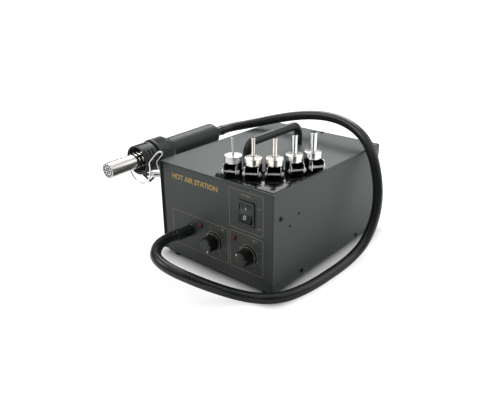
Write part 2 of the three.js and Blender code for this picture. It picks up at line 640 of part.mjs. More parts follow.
function nozzleSet() {
  return NOZZLES.map(([x, y, turn, spoutR], i) => {
    const group = new THREE.Group();
    group.add(nozzle(i + 1, spoutR), clampScrew(i + 1), clampNut(i + 1));
    group.position.set(x, y, 0);
    group.rotation.z = rad(turn);
    return group;
  });
}

// ---- Handpiece, along its own axis from the collar's front face ----
function heaterTube() {
  return part("heater_tube", turnedY([
    [TUBE_R - 0.6, TIP], [TUBE_R, TIP], [TUBE_R, 8], [TUBE_R - 0.6, 8], [TUBE_R - 0.6, TIP],
  ], 28), "steel");
}

// Pressed disc in the tube's mouth with rings of one, six and twelve holes.
function outletGrille() {
  const disc = rod(TUBE_R - 0.6 - GAP, vec(0, TIP + 0.6, 0), vec(0, TIP + 1.6, 0), 24);
  const holes = [[0, 1], [3.5, 6], [6.9, 12]].flatMap(([radius, count]) =>
    Array.from({ length: count }, (_, i) => {
      const t = (2 * Math.PI * i) / count;
      const [x, z] = [radius * Math.cos(t), radius * Math.sin(t)];
      return rod(1.15, vec(x, TIP, z), vec(x, TIP + 2.5, z), 6);
    }));
  return part("outlet_grille", cut(disc, ...holes), "steel");
}

function heaterElement() {
  const turns = 7;
  const profile = [[0, TIP + 10]];
  for (let i = 0; i < turns; i++) {
    const y = TIP + 10 + i * 9;
    profile.push([7.6, y], [7.6, y + 5], [6.2, y + 6], [6.2, y + 9]);
  }
  const end = TIP + 10 + turns * 9;
  return part("heater_element", turnedY([...profile, [0, end]], 12), "ceramic");
}

// Ring sector between two angles, as a cutter for the guard's slots.
function sector(inner, outer, a, b, y0, y1) {
  const shape = new THREE.Shape();
  shape.absarc(0, 0, outer, rad(a), rad(b), false);
  shape.absarc(0, 0, inner, rad(b), rad(a), true);
  return alongY(shape, y0, y1, 3);
}

function heaterGuard() {
  const wall = 1.8;
  const cup = turnedY([
    [GUARD_R - wall, GUARD_FRONT], [GUARD_R - 0.5, GUARD_FRONT], [GUARD_R, GUARD_FRONT + 0.6], [GUARD_R, -2.2],
    [17, -1.4], [17, -GAP], [TUBE_R + 0.5, -GAP], [TUBE_R + 0.5, -3.2], [GUARD_R - wall, -3.2],
    [GUARD_R - wall, GUARD_FRONT],
  ], 32);
  const slots = [];
  for (const middle of [72, 162, 252, 342]) {
    for (let row = 0; row < 3; row++) {
      const y = GUARD_FRONT + 3 + row * 5.6;
      slots.push(sector(GUARD_R - wall - 1, GUARD_R + 1, middle - 31, middle + 31, y, y + 2.5));
    }
  }
  return part("heater_guard", cut(cup, ...slots), "plastic");
}

function handleCollar() {
  return part("handle_collar", turnedY([
    [TUBE_R + 0.5, 0], [COLLAR_R - 1, 0], [COLLAR_R, 1], [COLLAR_R, COLLAR_STRAIGHT], [GRIP_R + 1.1, COLLAR_LEN - 1],
    [GRIP_R + 0.7, COLLAR_LEN], [GRIP_R + GAP, COLLAR_LEN], [GRIP_R + GAP, 20], [TUBE_R + 0.5, 20],
    [TUBE_R + 0.5, 0],
  ], 32), "plastic");
}

function handleGrip() {
  const round = 5;
  const shoulder = Array.from({ length: 4 }, (_, i) => {
    const t = (Math.PI / 2) * (i / 3);
    return [GRIP_R - round + round * Math.cos(t), GRIP_END - round + round * Math.sin(t)];
  });
  return part("handle_grip", turnedY([
    [13, 20 + GAP], [GRIP_R, 20 + GAP], ...shoulder, [6.6, GRIP_END], [6.6, GRIP_END - 3.8],
    [13, GRIP_END - 6], [13, 20 + GAP],
  ], 28), "plastic");
}

function tailSleeve() {
  return part("tail_sleeve", turnedY([
    [0, 108], [9, 108], [9, 112.5], [6.2, 112.5], [6.2, GRIP_END + GAP], [8, GRIP_END + GAP], [8, 126],
    [7.2, 127], [7.2, 136], [7.6, 137], [7.6, TAIL_END], [0, TAIL_END],
  ], 20), "rubber");
}

function handpiece() {
  const group = new THREE.Group();
  group.add(heaterTube(), outletGrille(), heaterElement(), heaterGuard());
  group.add(handleCollar(), handleGrip(), tailSleeve());
  group.position.set(HAND.x, HAND.y, HAND.z);
  group.rotation.x = rad(HAND.tilt);
  return group;
}

// ---- Hose ----
const hose = () => part("hose", swept(HOSE_ROUTE, HOSE_R, 10, 44), "rubber");

// ---- Assembly ----
const station = new THREE.Group();
station.add(chassis(), topCover(), frontPanel(), ...feet(), carryHandle(), nozzlePlate());
station.add(switchHousing(), switchRocker(), ...hoseGland());
for (const name of Object.keys(KNOBS)) {
  station.add(knob(name), ...controlPot(name), lamp(name));
}
station.add(controlBoard(), ...transformer(), pumpBase(), pumpArm(), ...pumpElectromagnet());
station.add(pumpChamber(), pumpBellows(), airTube(), mainsInlet(), ...fuseHolder());
station.add(holderBracket(), holderGusset(), holderWire(), ...nozzleSet(), handpiece());

// The origin is the middle of the base of everything but the hose.
station.updateMatrixWorld(true);
const middle = new THREE.Box3().setFromObject(station, true).getCenter(vec(0, 0, 0));
station.add(hose());
station.position.set(-middle.x, -middle.y, 0);

export default station;
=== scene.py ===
import math

import bmesh
import bpy
from mathutils import Matrix, Vector


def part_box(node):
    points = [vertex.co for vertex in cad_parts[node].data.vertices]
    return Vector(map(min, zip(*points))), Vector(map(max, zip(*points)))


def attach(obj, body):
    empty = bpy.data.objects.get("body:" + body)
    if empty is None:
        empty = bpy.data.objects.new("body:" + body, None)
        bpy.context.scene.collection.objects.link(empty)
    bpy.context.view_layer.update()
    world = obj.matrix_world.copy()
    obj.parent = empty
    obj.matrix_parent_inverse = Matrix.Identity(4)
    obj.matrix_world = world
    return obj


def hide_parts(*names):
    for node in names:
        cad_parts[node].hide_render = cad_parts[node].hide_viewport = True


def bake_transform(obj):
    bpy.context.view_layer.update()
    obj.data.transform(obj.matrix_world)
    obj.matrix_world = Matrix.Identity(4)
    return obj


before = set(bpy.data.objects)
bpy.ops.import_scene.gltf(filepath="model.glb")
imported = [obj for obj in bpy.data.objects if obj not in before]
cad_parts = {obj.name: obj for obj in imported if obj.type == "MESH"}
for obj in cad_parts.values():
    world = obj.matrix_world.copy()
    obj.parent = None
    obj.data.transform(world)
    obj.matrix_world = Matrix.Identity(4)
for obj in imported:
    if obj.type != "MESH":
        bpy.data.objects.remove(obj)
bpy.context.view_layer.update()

# Lengths below are millimetres: X right, Y back and Z up, from a point under the case that is SIDE in from its
# right face and midway between its front and its back.
SIDE, LEFT = 93.5, -96.5
COVER_LOW, COVER_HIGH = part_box("top_cover")
CASE = Vector((COVER_HIGH.x - SIDE / 1000, (COVER_LOW.y + COVER_HIGH.y) / 2, 0))
IN_FRAME = Matrix.Translation(CASE) @ Matrix.Scale(0.001, 4)


def at(x, y, z):
    return IN_FRAME @ Vector((x, y, z))


# ---- Camera ----
LENS, SENSOR_WIDTH = 39.8, 36
CAMERA_PLACE = (433.8, -571.3, 373.0)
CAMERA_RIGHT = Vector((0.76800, 0.64044, -0.00338))
CAMERA_UP = Vector((-0.25158, 0.30654, 0.91801))


def make_camera():
    data = bpy.data.cameras.new("camera")
    data.lens = LENS
    data.sensor_width = SENSOR_WIDTH
    camera = bpy.data.objects.new("camera", data)
    bpy.context.scene.collection.objects.link(camera)
    turn = Matrix((CAMERA_RIGHT, CAMERA_UP, CAMERA_RIGHT.cross(CAMERA_UP))).transposed().to_4x4()
    camera.matrix_world = Matrix.Translation(at(*CAMERA_PLACE)) @ turn
    bpy.context.scene.camera = camera


make_camera()

# ---- Driving sizes, as in the CAD ----
GAP = 0.3
FRONT, BACK = -122.5, 122.5
CASE_TOP, CASE_BOTTOM = 135.0, 6.0
SHEET, BEND = 1.2, 2.5
KNOBS = {"air": (-1.5, 46.3), "heat": (55.5, 46.3)}
KNOB_TURN = {"air": 144, "heat": -36}
LAMPS = {"air": (-23.5, 62.9), "heat": (33.6, 63.5)}
SWITCH_X, SWITCH_Z = 53.0, 101.3
ROCK = 11.5
GLAND = (-41.5, 51.0)
HOSE_R = 6.75
WIRE_R = 1.15
HAND = (-118.5, -116.4, 134.9)
HAND_TILT = 1.44
TUBE_R, GUARD_R, COLLAR_R, GRIP_R = 9.9, 19.6, 21.0, 15.5
TIP, GUARD_FRONT, COLLAR_LEN, GRIP_END, TAIL_END = -71.5, -25.0, 30.0, 120.5, 142.0
COLLAR_STRAIGHT = 21.0
PLATE_Z = CASE_TOP + GAP
PLATE_T = 0.8
NOZZLE_BASE = PLATE_Z + PLATE_T + GAP
NOZZLE_R, NOZZLE_TOP, NOZZLE_RING = 11.1, 159.0, 8.6
EAR_X, SCREW_OUT, SCREW_Z = 8.4, 13.0, 142.0
# x, y, turn in degrees, spout radius, spout height, finish
NOZZLES = (
    (12.4, -98.7, 24, 1.4, 21.5, "satin"),
    (36.6, -89.9, 30, 2.3, 23.5, "warm"),
    (56.7, -74.5, 36, 3.0, 23.5, "warm"),
    (66.7, -48.8, 53, 3.8, 23.5, "bright"),
    (77.7, -24.6, 60, 4.5, 23.5, "bright"),
)
BRACKET_SCREWS = ((-91, 86), (-73, 96))
SIDE_SCREWS = ((-109.2, 101.5), (-63.2, 13.4), (73.1, 10.3))
FEET = {"front_left": (-1, -1), "front_right": (1, -1), "rear_left": (-1, 1), "rear_right": (1, 1)}
FOOT_X, FOOT_Y = 77, 113.5
BOOT_R = 7.6
BOOT_ROUTE = ((-41.5, -123.4, 51), (-41.9, -132, 51), (-43, -140.6, 51), (-44.9, -149.1, 50.9))
HOSE_ROUTE = (
    (-45, -149.8, 50.9), (-46.3, -157.6, 50.8), (-46.2, -165.5, 50.6), (-44.6, -173.3, 50.4),
    (-41.5, -180.6, 50.2), (-37, -187, 50), (-25.2, -198.3, 49.2), (-9, -203.7, 47.7), (8.5, -203, 44.5),
    (24.5, -196.4, 38.9), (37.9, -184.2, 29.6), (48.7, -168.4, 18.4), (59.7, -156.5, 11.3),
    (76, -145.7, 7.6), (94.9, -133.2, 7.1), (107.9, -115.6, 7), (115.4, -90.4, 6.9), (119, -65, 6.9),
    (120.5, -38, 6.9), (121.5, -12, 7.3), (123, 12, 10.8), (125.5, 34, 20.5), (127, 50.5, 38),
    (127, 62, 60.5), (123.5, 69.5, 85), (116.5, 74.5, 109), (105.8, 79.5, 130.8), (90.5, 85.3, 148),
    (70.5, 92.3, 158.3), (45.5, 99.3, 164), (18, 103, 165.5), (-9, 102.5, 163.5), (-35.6, 97.7, 158.9),
    (-61.4, 89.1, 152.6), (-83.6, 77.5, 146.4), (-101.6, 63.1, 141.8), (-113, 49.4, 139.5),
    (-117.6, 37.6, 138.7), (-118.5, 26.1, 138.4),
)


# ---- Materials ----
COLOUR_SPAN = (0.38, 0.62)
ROUGH_SPAN = (0.35, 0.65)
BUMP_DEPTH = 0.0001


def material(name, dark, light, rough, metallic=0.0, grain=900.0, stretch=(1, 1, 1), bump=0.1, smudge=14.0,
             specular=0.5):
    """A finish whose colour drifts between dark and light, with its own grain, roughness and bump."""
    made = bpy.data.materials.new(name)
    made.use_nodes = True
    nodes, links = made.node_tree.nodes, made.node_tree.links
    shader = nodes["Principled BSDF"]
    shader.inputs["Metallic"].default_value = metallic
    shader.inputs["Specular IOR Level"].default_value = specular
    place = nodes.new("ShaderNodeTexCoord")
    mapping = nodes.new("ShaderNodeMapping")
    mapping.inputs["Scale"].default_value = stretch
    links.new(place.outputs["Object"], mapping.inputs["Vector"])

    def noise(scale, detail):
        node = nodes.new("ShaderNodeTexNoise")
        node.inputs["Scale"].default_value = scale
        node.inputs["Detail"].default_value = detail
        links.new(mapping.outputs["Vector"], node.inputs["Vector"])
        return node

    fine, broad = noise(grain, 3.0), noise(smudge, 5.0)
    mixed = nodes.new("ShaderNodeMath")
    mixed.operation = "MULTIPLY_ADD"
    mixed.inputs[1].default_value = 0.5
    links.new(fine.outputs["Fac"], mixed.inputs[0])
    halved = nodes.new("ShaderNodeMath")
    halved.operation = "MULTIPLY"
    halved.inputs[1].default_value = 0.5
    links.new(broad.outputs["Fac"], halved.inputs[0])
    links.new(halved.outputs[0], mixed.inputs[2])
    ramp = nodes.new("ShaderNodeValToRGB")
    ramp.color_ramp.elements[0].position = COLOUR_SPAN[0]
    ramp.color_ramp.elements[0].color = (*dark, 1)
    ramp.color_ramp.elements[1].position = COLOUR_SPAN[1]
    ramp.color_ramp.elements[1].color = (*light, 1)
    links.new(mixed.outputs[0], ramp.inputs["Fac"])
    links.new(ramp.outputs["Color"], shader.inputs["Base Color"])
    spread = nodes.new("ShaderNodeMapRange")
    spread.inputs["From Min"].default_value = ROUGH_SPAN[0]
    spread.inputs["From Max"].default_value = ROUGH_SPAN[1]
    spread.inputs["To Min"].default_value = rough[0]
    spread.inputs["To Max"].default_value = rough[1]
    links.new(mixed.outputs[0], spread.inputs["Value"])
    links.new(spread.outputs[0], shader.inputs["Roughness"])
    relief = nodes.new("ShaderNodeBump")
    relief.inputs["Strength"].default_value = bump
    relief.inputs["Distance"].default_value = BUMP_DEPTH
    links.new(fine.outputs["Fac"], relief.inputs["Height"])
    links.new(relief.outputs["Normal"], shader.inputs["Normal"])
    return made


def grey(value):
    return (value, value, value)


def black(value):
    """A dark grey with a trace of green."""
    return (value * 0.85, value * 1.03, value * 0.99)


LOOK = {
    "powder": material("powder_coat", black(0.082), black(0.100), (0.42, 0.52), grain=2600, bump=0.35),
    "panel": material("printed_panel", black(0.049), black(0.057), (0.42, 0.5), grain=3000, bump=0.2),
    # Near-black, low-sheen finish for the chassis: painted shade, so the gap beside the front panel and the inside
    # of the case read as shadow.
    "inside": material("case_inside_painted_shade", black(0.012), black(0.018), (0.5, 0.6), grain=2600, bump=0.3,
                       specular=0.25),
    "print": material("gold_print", (0.30, 0.25, 0.14), (0.40, 0.34, 0.20), (0.4, 0.5), 0.0, bump=0.05),
    "title": material("title_print", (0.56, 0.36, 0.08), (0.70, 0.47, 0.13), (0.4, 0.5), 0.0, bump=0.05),
    "white": material("white_print", grey(0.84), grey(0.93), (0.4, 0.5), bump=0.05),
    "gloss": material("gloss_plate", black(0.003), black(0.005), (0.02, 0.05), grain=300, bump=0.01,
                      specular=0.26),
    "plastic": material("black_plastic", black(0.014), black(0.020), (0.34, 0.46), grain=2200, bump=0.18),
    "switch": material("switch_plastic", black(0.028), black(0.036), (0.22, 0.32), grain=2500, bump=0.12),
    "knob": material("knob_plastic", black(0.005), black(0.008), (0.12, 0.2), grain=1200, bump=0.03),
    "knob_face": material("knob_face", black(0.040), black(0.052), (0.34, 0.44), 0.2, grain=2600, bump=0.1),
    "grip": material("handle_plastic", black(0.034), black(0.042), (0.42, 0.5), grain=2400, bump=0.22),
    "rubber": material("hose_rubber", black(0.014), black(0.019), (0.23, 0.30), grain=1500, bump=0.12, smudge=30),
    "bail": material("bail_rubber", black(0.014), black(0.020), (0.30, 0.40), grain=1500, bump=0.15),
    "foot": material("foot_rubber", black(0.010), black(0.016), (0.55, 0.7), grain=1800, bump=0.3),
    "lamp": material("lamp_red", (0.10, 0.003, 0.006), (0.16, 0.006, 0.010), (0.10, 0.18), grain=500, bump=0.02),
    "satin_steel": material("satin_steel", (0.60, 0.61, 0.61), (0.72, 0.73, 0.72), (0.3, 0.4), 1.0,
                            grain=700, stretch=(1, 1, 0.15), bump=0.08),
    "warm_steel": material("warm_steel", (0.84, 0.80, 0.74), (0.94, 0.91, 0.85), (0.18, 0.23), 1.0,
                           grain=600, stretch=(1, 1, 0.15), bump=0.05),
    "bright_steel": material("bright_steel", (0.84, 0.84, 0.83), (0.94, 0.94, 0.92), (0.15, 0.2), 1.0,
                             grain=600, stretch=(1, 1, 0.15), bump=0.04),
    # Near-black steel for the nozzle cups below their rings: painted shade.
    "painted_shade_steel": material("painted_shade_steel", grey(0.012), grey(0.022), (0.2, 0.3), 0.6, grain=600, bump=0.04),
    "tube_steel": material("tube_steel", (0.84, 0.82, 0.77), (0.93, 0.91, 0.87), (0.22, 0.26), 1.0,
                           grain=700, stretch=(1, 0.1, 1), bump=0.02),
    # Polished steel darker than the brushed tube steel: the darker colour is painted shade where the tube runs
    # into the guard.
    "mirror_and_shade_steel": material("mirror_and_shade_steel", (0.62, 0.60, 0.56), (0.72, 0.70, 0.66), (0.05, 0.1), 1.0,
                             grain=700, bump=0.02),
    "wire_steel": material("wire_steel", grey(0.82), grey(0.92), (0.22, 0.3), 1.0, grain=800, bump=0.04),
    "plated_steel": material("plated_steel", grey(0.74), grey(0.86), (0.24, 0.32), 0.4, grain=800, bump=0.04),
    "sheet_steel": material("sheet_steel", (0.56, 0.55, 0.50), (0.68, 0.66, 0.60), (0.2, 0.32), 1.0, grain=900,
                            bump=0.06),
    "screw_steel": material("black_screws", black(0.012), black(0.02), (0.12, 0.18), 0.3, grain=1500, bump=0.06),
    "zinc": material("zinc_plate", grey(0.42), grey(0.58), (0.3, 0.45), 1.0, grain=900, bump=0.1),
    "board": material("board_lacquer", (0.01, 0.09, 0.035), (0.02, 0.13, 0.05), (0.3, 0.4), grain=400, bump=0.1),
    "iron": material("core_iron", grey(0.08), grey(0.14), (0.4, 0.55), 0.8, grain=500, stretch=(1, 12, 1),
                     bump=0.5),
    "copper": material("winding", (0.40, 0.15, 0.05), (0.58, 0.25, 0.09), (0.3, 0.4), 0.9, grain=300,
                       stretch=(1, 1, 14), bump=0.6),
    # The heater element's own colour. On the bores of the tube and the grille it is painted shade.
    "element_and_bore_shade": material("heater_element", (0.06, 0.055, 0.05), (0.12, 0.11, 0.10), (0.6, 0.75), grain=900,
                        bump=0.2),
}


# ---- Shapes, in millimetres ----
def spline(points, per_span):
    """Points along a smooth centripetal curve through the given points."""
    p = [Vector(q) for q in points]
    p = [2 * p[0] - p[1], *p, 2 * p[-1] - p[-2]]
    made = []
    for a, b, c, d in zip(p, p[1:], p[2:], p[3:]):
        ab, bc, cd = ((y - x).length ** 0.5 for x, y in ((a, b), (b, c), (c, d)))
        m1 = (b - a) / ab - (c - a) / (ab + bc) + (c - b) / bc
        m2 = (c - b) / bc - (d - b) / (bc + cd) + (d - c) / cd
        m1, m2 = m1 * bc, m2 * bc
        for i in range(per_span):
            t = i / per_span
            made.append((2 * t**3 - 3 * t**2 + 1) * b + (t**3 - 2 * t**2 + t) * m1
                        + (3 * t**2 - 2 * t**3) * c + (t**3 - t**2) * m2)
    made.append(p[-2].copy())
    return made


def soften(points, radius, steps=4):
    """The same open line with its corners rounded and its ends kept."""
    p = [Vector(q) for q in points]
    made = []
    count = len(p)
    for i, corner in enumerate(p):
        if i in (0, count - 1):
            made.append(corner)
            continue
        before, after = p[i - 1] - corner, p[i + 1] - corner
        reach = min(radius, before.length * 0.49, after.length * 0.49)
        if reach < 1e-4:
            made.append(corner)
            continue
        a, b = corner + before.normalized() * reach, corner + after.normalized() * reach
        for k in range(steps + 1):
            t = k / steps
            made.append((1 - t) ** 2 * a + 2 * t * (1 - t) * corner + t * t * b)
    return made


def face_grid(bm, rings, closed_end=False):
    """Faces between neighbouring rings of vertices; a ring of one vertex is a pole."""
    ends = list(zip(rings, rings[1:]))
    if closed_end:
        ends.append((rings[-1], rings[0]))
    for a, b in ends:
        count = max(len(a), len(b))
        for k in range(count):
            n = (k + 1) % count
            corners = [a[k % len(a)], a[n % len(a)], b[n % len(b)], b[k % len(b)]]
            unique = list(dict.fromkeys(corners))
            if len(unique) > 2:
                bm.faces.new(unique)
    bmesh.ops.recalc_face_normals(bm, faces=bm.faces)
    return bm


def lathe(profile, sides=64, ripple=None):
    """(radius, height) turned about Z. A profile that ends where it starts is a ring."""
    bm = bmesh.new()
    points = [tuple(p)[:2] for p in profile]
    ring_shape = (Vector(points[0]) - Vector(points[-1])).length < 1e-6
    rings = []
    for r, h in points[:-1] if ring_shape else points:
        if r < 1e-5:
            rings.append([bm.verts.new((0, 0, h))])
            continue
        ring = []
        for k in range(sides):
            t = 2 * math.pi * k / sides
            grown = r + (ripple(t, h, r) if ripple else 0)
            ring.append(bm.verts.new((grown * math.cos(t), grown * math.sin(t), h)))
        rings.append(ring)
    return face_grid(bm, rings, closed_end=ring_shape)


def tube(path, radius, sides=20, round_ends=False):
    """A round section along points; radius is a number, or a function of the place from 0 to 1."""
    size = radius if callable(radius) else lambda _: radius
    p = [Vector(q) for q in path]
    bm = bmesh.new()
    rings = []
    normal = None
    for i, here in enumerate(p):
        along = (p[min(i + 1, len(p) - 1)] - p[max(i - 1, 0)]).normalized()
        if normal is None:
            normal = along.orthogonal().normalized()
        normal = (normal - along * normal.dot(along)).normalized()
        other = along.cross(normal)
        r = size(i / (len(p) - 1))
        rings.append([bm.verts.new(here + r * (math.cos(t) * normal + math.sin(t) * other))
                      for t in (2 * math.pi * k / sides for k in range(sides))])
    for ring, here, towards in ((rings[0], p[0], p[0] - p[1]), (rings[-1], p[-1], p[-1] - p[-2])):
        bulge = towards.normalized() * (size(0) * 0.4 if round_ends else 0)
        pole = bm.verts.new(here + bulge)
        for k in range(sides):
            bm.faces.new((ring[k], ring[(k + 1) % sides], pole))
    return face_grid(bm, rings)


def prism(outline, depth, inner=None):
    """A flat outline in X and Y, with an inner outline of as many points for a hole, made depth thick."""
    bm = bmesh.new()
    low = [bm.verts.new((*tuple(q)[:2], 0)) for q in outline]
    high = [bm.verts.new((*tuple(q)[:2], depth)) for q in outline]
    if inner is None:
        bm.faces.new(low)
        bm.faces.new(high)
        return face_grid(bm, [low, high])
    low_in = [bm.verts.new((*tuple(q)[:2], 0)) for q in inner]
    high_in = [bm.verts.new((*tuple(q)[:2], depth)) for q in inner]
    return face_grid(bm, [low, high, high_in, low_in], closed_end=True)


def block(x0, x1, y0, y1, z0, z1):
    bm = prism([(x0, y0), (x1, y0), (x1, y1), (x0, y1)], z1 - z0)
    bmesh.ops.translate(bm, vec=(0, 0, z0), verts=bm.verts)
    return bm


def sharp_edges(bm, degrees):
    limit = math.radians(degrees)
    return [e for e in bm.edges if len(e.link_faces) == 2 and e.calc_face_angle(0) > limit]


def bevel(bm, width, segments=3, degrees=35):
    bmesh.ops.bevel(bm, geom=sharp_edges(bm, degrees), offset=width, segments=segments, profile=0.5,
                    affect="EDGES", clamp_overlap=True)
    return bm


def moved(bm, matrix):
    bm.transform(matrix)
    return bm


def joined(*parts):
    whole = parts[0]
    for extra in parts[1:]:
        spare = bpy.data.meshes.new("spare")
        extra.to_mesh(spare)
        whole.from_mesh(spare)
        bpy.data.meshes.remove(spare)
        extra.free()
    return whole


def carve(bm, *cutters):
    """bm with every cutter taken out of it."""
    def as_object(source):
        mesh = bpy.data.meshes.new("carving")
        source.to_mesh(mesh)
        source.free()
        made = bpy.data.objects.new("carving", mesh)
        bpy.context.scene.collection.objects.link(made)
        return made

    body, tool = as_object(bm), as_object(joined(*cutters))
    cut = body.modifiers.new("cut", "BOOLEAN")
    cut.operation, cut.solver, cut.object = "DIFFERENCE", "EXACT", tool
    bpy.context.view_layer.update()
    result = body.evaluated_get(bpy.context.evaluated_depsgraph_get())
    out = bmesh.new()
    out.from_mesh(result.to_mesh())
    result.to_mesh_clear()
    for used in (body, tool):
        mesh = used.data
        bpy.data.objects.remove(used)
        bpy.data.meshes.remove(mesh)
    return out


def piece(name, bm, look, body="case", replaces=(), angle=38):
    """Turns millimetre geometry into a finished object that rides on a CAD body."""
    bm.transform(IN_FRAME)
    bm.normal_update()
    for f in bm.faces:
        f.smooth = True
    for e in sharp_edges(bm, angle):
        e.smooth = False
    mesh = bpy.data.meshes.new(name)
    bm.to_mesh(mesh)
    bm.free()
    mesh.materials.append(LOOK[look])
    made = bpy.data.objects.new(name, mesh)
    bpy.context.scene.collection.objects.link(made)
    if body:
        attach(made, body)
    if replaces:
        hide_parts(*replaces)
    return made


def basis(x, y, z, origin=(0, 0, 0)):
    turn = Matrix((x, y, z)).transposed().to_4x4()
    return Matrix.Translation(origin) @ turn


def facing_front(x, y, z):
    """Local X right, local Y up, local Z out of the front."""
    return basis((1, 0, 0), (0, 0, 1), (0, -1, 0), (x, y, z))


def facing_back(x, y, z):
    return basis((-1, 0, 0), (0, 0, 1), (0, 1, 0), (x, y, z))


def facing_side(side, x, y, z):
    return basis((0, side, 0), (0, 0, 1), (side, 0, 0), (x, y, z))


def facing_up(x, y, z, turn=0):
    return Matrix.Translation((x, y, z)) @ Matrix.Rotation(math.radians(turn), 4, "Z")


HAND_FRAME = (Matrix.Translation(HAND) @ Matrix.Rotation(math.radians(HAND_TILT), 4, "X")
              @ basis((1, 0, 0), (0, 0, -1), (0, 1, 0)))


def circle(r, count, start=0.0):
    return [(r * math.cos(start + 2 * math.pi * k / count), r * math.sin(start + 2 * math.pi * k / count))
            for k in range(count)]


def rounded_rect(x0, x1, y0, y1, r, steps=5):
    made = []
    for cx, cy, start in ((x1 - r, y1 - r, 0), (x0 + r, y1 - r, 90), (x0 + r, y0 + r, 180), (x1 - r, y0 + r, 270)):
        for k in range(steps + 1):
            t = math.radians(start + 90 * k / steps)
            made.append((cx + r * math.cos(t), cy + r * math.sin(t)))
    return made


# ---- Hose ----
def make_hose():
    path = spline(HOSE_ROUTE, 6)
    made = piece("hose_tube", tube(path, HOSE_R, 28), "rubber", body=None, replaces=("hose",))
    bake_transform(made)


def make_bellows():
    """Its foot stays on the pump's chamber."""
    x, y, low, high, folds = -45, 50, 44, 60, 4
    pitch = (high - low) / folds
    outer = [q for i in range(folds) for q in ((15, low + i * pitch), (18, low + (i + 0.5) * pitch))]
    bm = lathe([(0, high - 2), (12, high - 2), (12, low), *soften([*outer, (15, high)], 0.6, 3), (0, high)], 48)
    made = piece("pump_bellows_rubber", moved(bm, Matrix.Translation((x, y, 0))), "rubber", body=None,
                 replaces=("pump_bellows",))
    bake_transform(made)


make_hose()
make_bellows()


# ---- Case ----
def cover_outline():
    outer_line = [(LEFT, CASE_BOTTOM), (LEFT, CASE_TOP), (SIDE, CASE_TOP), (SIDE, CASE_BOTTOM)]
    inner_line = [(LEFT + SHEET, CASE_BOTTOM), (LEFT + SHEET, CASE_TOP - SHEET),
                  (SIDE - SHEET, CASE_TOP - SHEET), (SIDE - SHEET, CASE_BOTTOM)]
    return soften(outer_line, BEND, 8), soften(inner_line, 0.6, 8)


def make_cover():
    outer, inner = cover_outline()
    bm = bmesh.new()
    rings = []
    for y, pull in ((FRONT, 0.25), (FRONT + 0.25, 0), (BACK - 0.25, 0), (BACK, 0.25)):
        ring = []
        for line, sign in ((outer, -1), (inner, 1)):
            for q, other in zip(line, inner if sign < 0 else outer):
                aim = Vector(other) - Vector(q)
                q = Vector(q) + aim.normalized() * pull
                ring.append(bm.verts.new((q.x, y, q.y)))
        half = len(outer)
        rings.append(ring[:half] + ring[half:][::-1])
    for ring in (rings[0], rings[-1]):
        half = len(outer)
        for k in range(half - 1):
            bm.faces.new((ring[k], ring[k + 1], ring[2 * half - 2 - k], ring[2 * half - 1 - k]))
    face_grid(bm, rings)
    holes = [moved(lathe([(0, -3), (1.8, -3), (1.8, 3), (0, 3)], 24), facing_side(1, SIDE - 0.6, y, z))
             for y, z in BRACKET_SCREWS]
    piece("cover_shell", carve(bm, *holes), "powder", replaces=("top_cover",))


def pan_screw(radius=3.1, height=1.7):
    """A domed head with a cross recess, standing on its underside at height 0."""
    dome = [(0, 0), *soften([(radius, 0), (radius, height * 0.55), (radius * 0.62, height), (0.01, height)], 0.7),
            (0, height)]
    head = lathe(dome, 40)
    size, width = radius * 0.62, radius * 0.2
    cross = [block(-size, size, -width, width, height * 0.35, height + 1),
             block(-width, width, -size, size, height * 0.35, height + 1)]
    return carve(carve(head, cross[0]), cross[1])


def make_screws():
    places = [facing_up(0, -113, CASE_TOP, 20), facing_up(0, 117, CASE_TOP, 55)]
    for side in (1, -1):
        for y, z in SIDE_SCREWS:
            if side < 0 and z > 100:
                continue
            places.append(facing_side(side, SIDE if side > 0 else LEFT, y, z))
    rear = [facing_back(x, BACK - 0.6, z) for x in (-84, 84) for z in (16, 124)]
    heads = [moved(pan_screw(), place @ Matrix.Scale(0.96, 4)) for place in places + rear]
    piece("cover_screws", joined(*heads), "screw_steel")


def make_feet():
    profile = soften([(0, 2), (3, 2), (3, 0), (6.4, 0), (6.9, 5.7), (0, 5.7)], 0.8, 4)
    for name, (sx, sy) in FEET.items():
        piece("rubber_foot_" + name, moved(lathe(profile, 48), facing_up(sx * FOOT_X, sy * FOOT_Y, 0)), "foot",
              replaces=("foot_" + name,))


def make_handle():
    x, front, rear, z, r, turn = 4, -62, 49, 163.2, 5.7, 14
    path = [(x, front, CASE_TOP + GAP), (x, front, CASE_TOP + 8)]
    for cy, first in ((front + turn, 180), (rear - turn, 90)):
        for k in range(13):
            t = math.radians(first - 90 * k / 12)
            path.append((x, cy + turn * math.cos(t), z - turn + turn * math.sin(t)))
    path += [(x, rear, CASE_TOP + 8), (x, rear, CASE_TOP + GAP)]
    piece("bail_handle", tube(path, r, 36), "bail", replaces=("carry_handle",))


def make_plate():
    edge, cx, cy, r = 2.5, -9, -16, 73
    arc = [(cx + r * math.cos(math.radians(a)), cy + r * math.sin(math.radians(a)))
           for a in (-5 - 75 * k / 32 for k in range(33))]
    outline = [(1, FRONT + edge), (SIDE - edge, FRONT + edge), (SIDE - edge, -14), *arc]
    bm = bevel(prism(outline, PLATE_T), 0.2, 2)
    piece("gloss_plate_top", moved(bm, facing_up(0, 0, PLATE_Z)), "gloss", replaces=("nozzle_plate",))


# ---- Print on the front panel ----
PRINT_T = 0.05


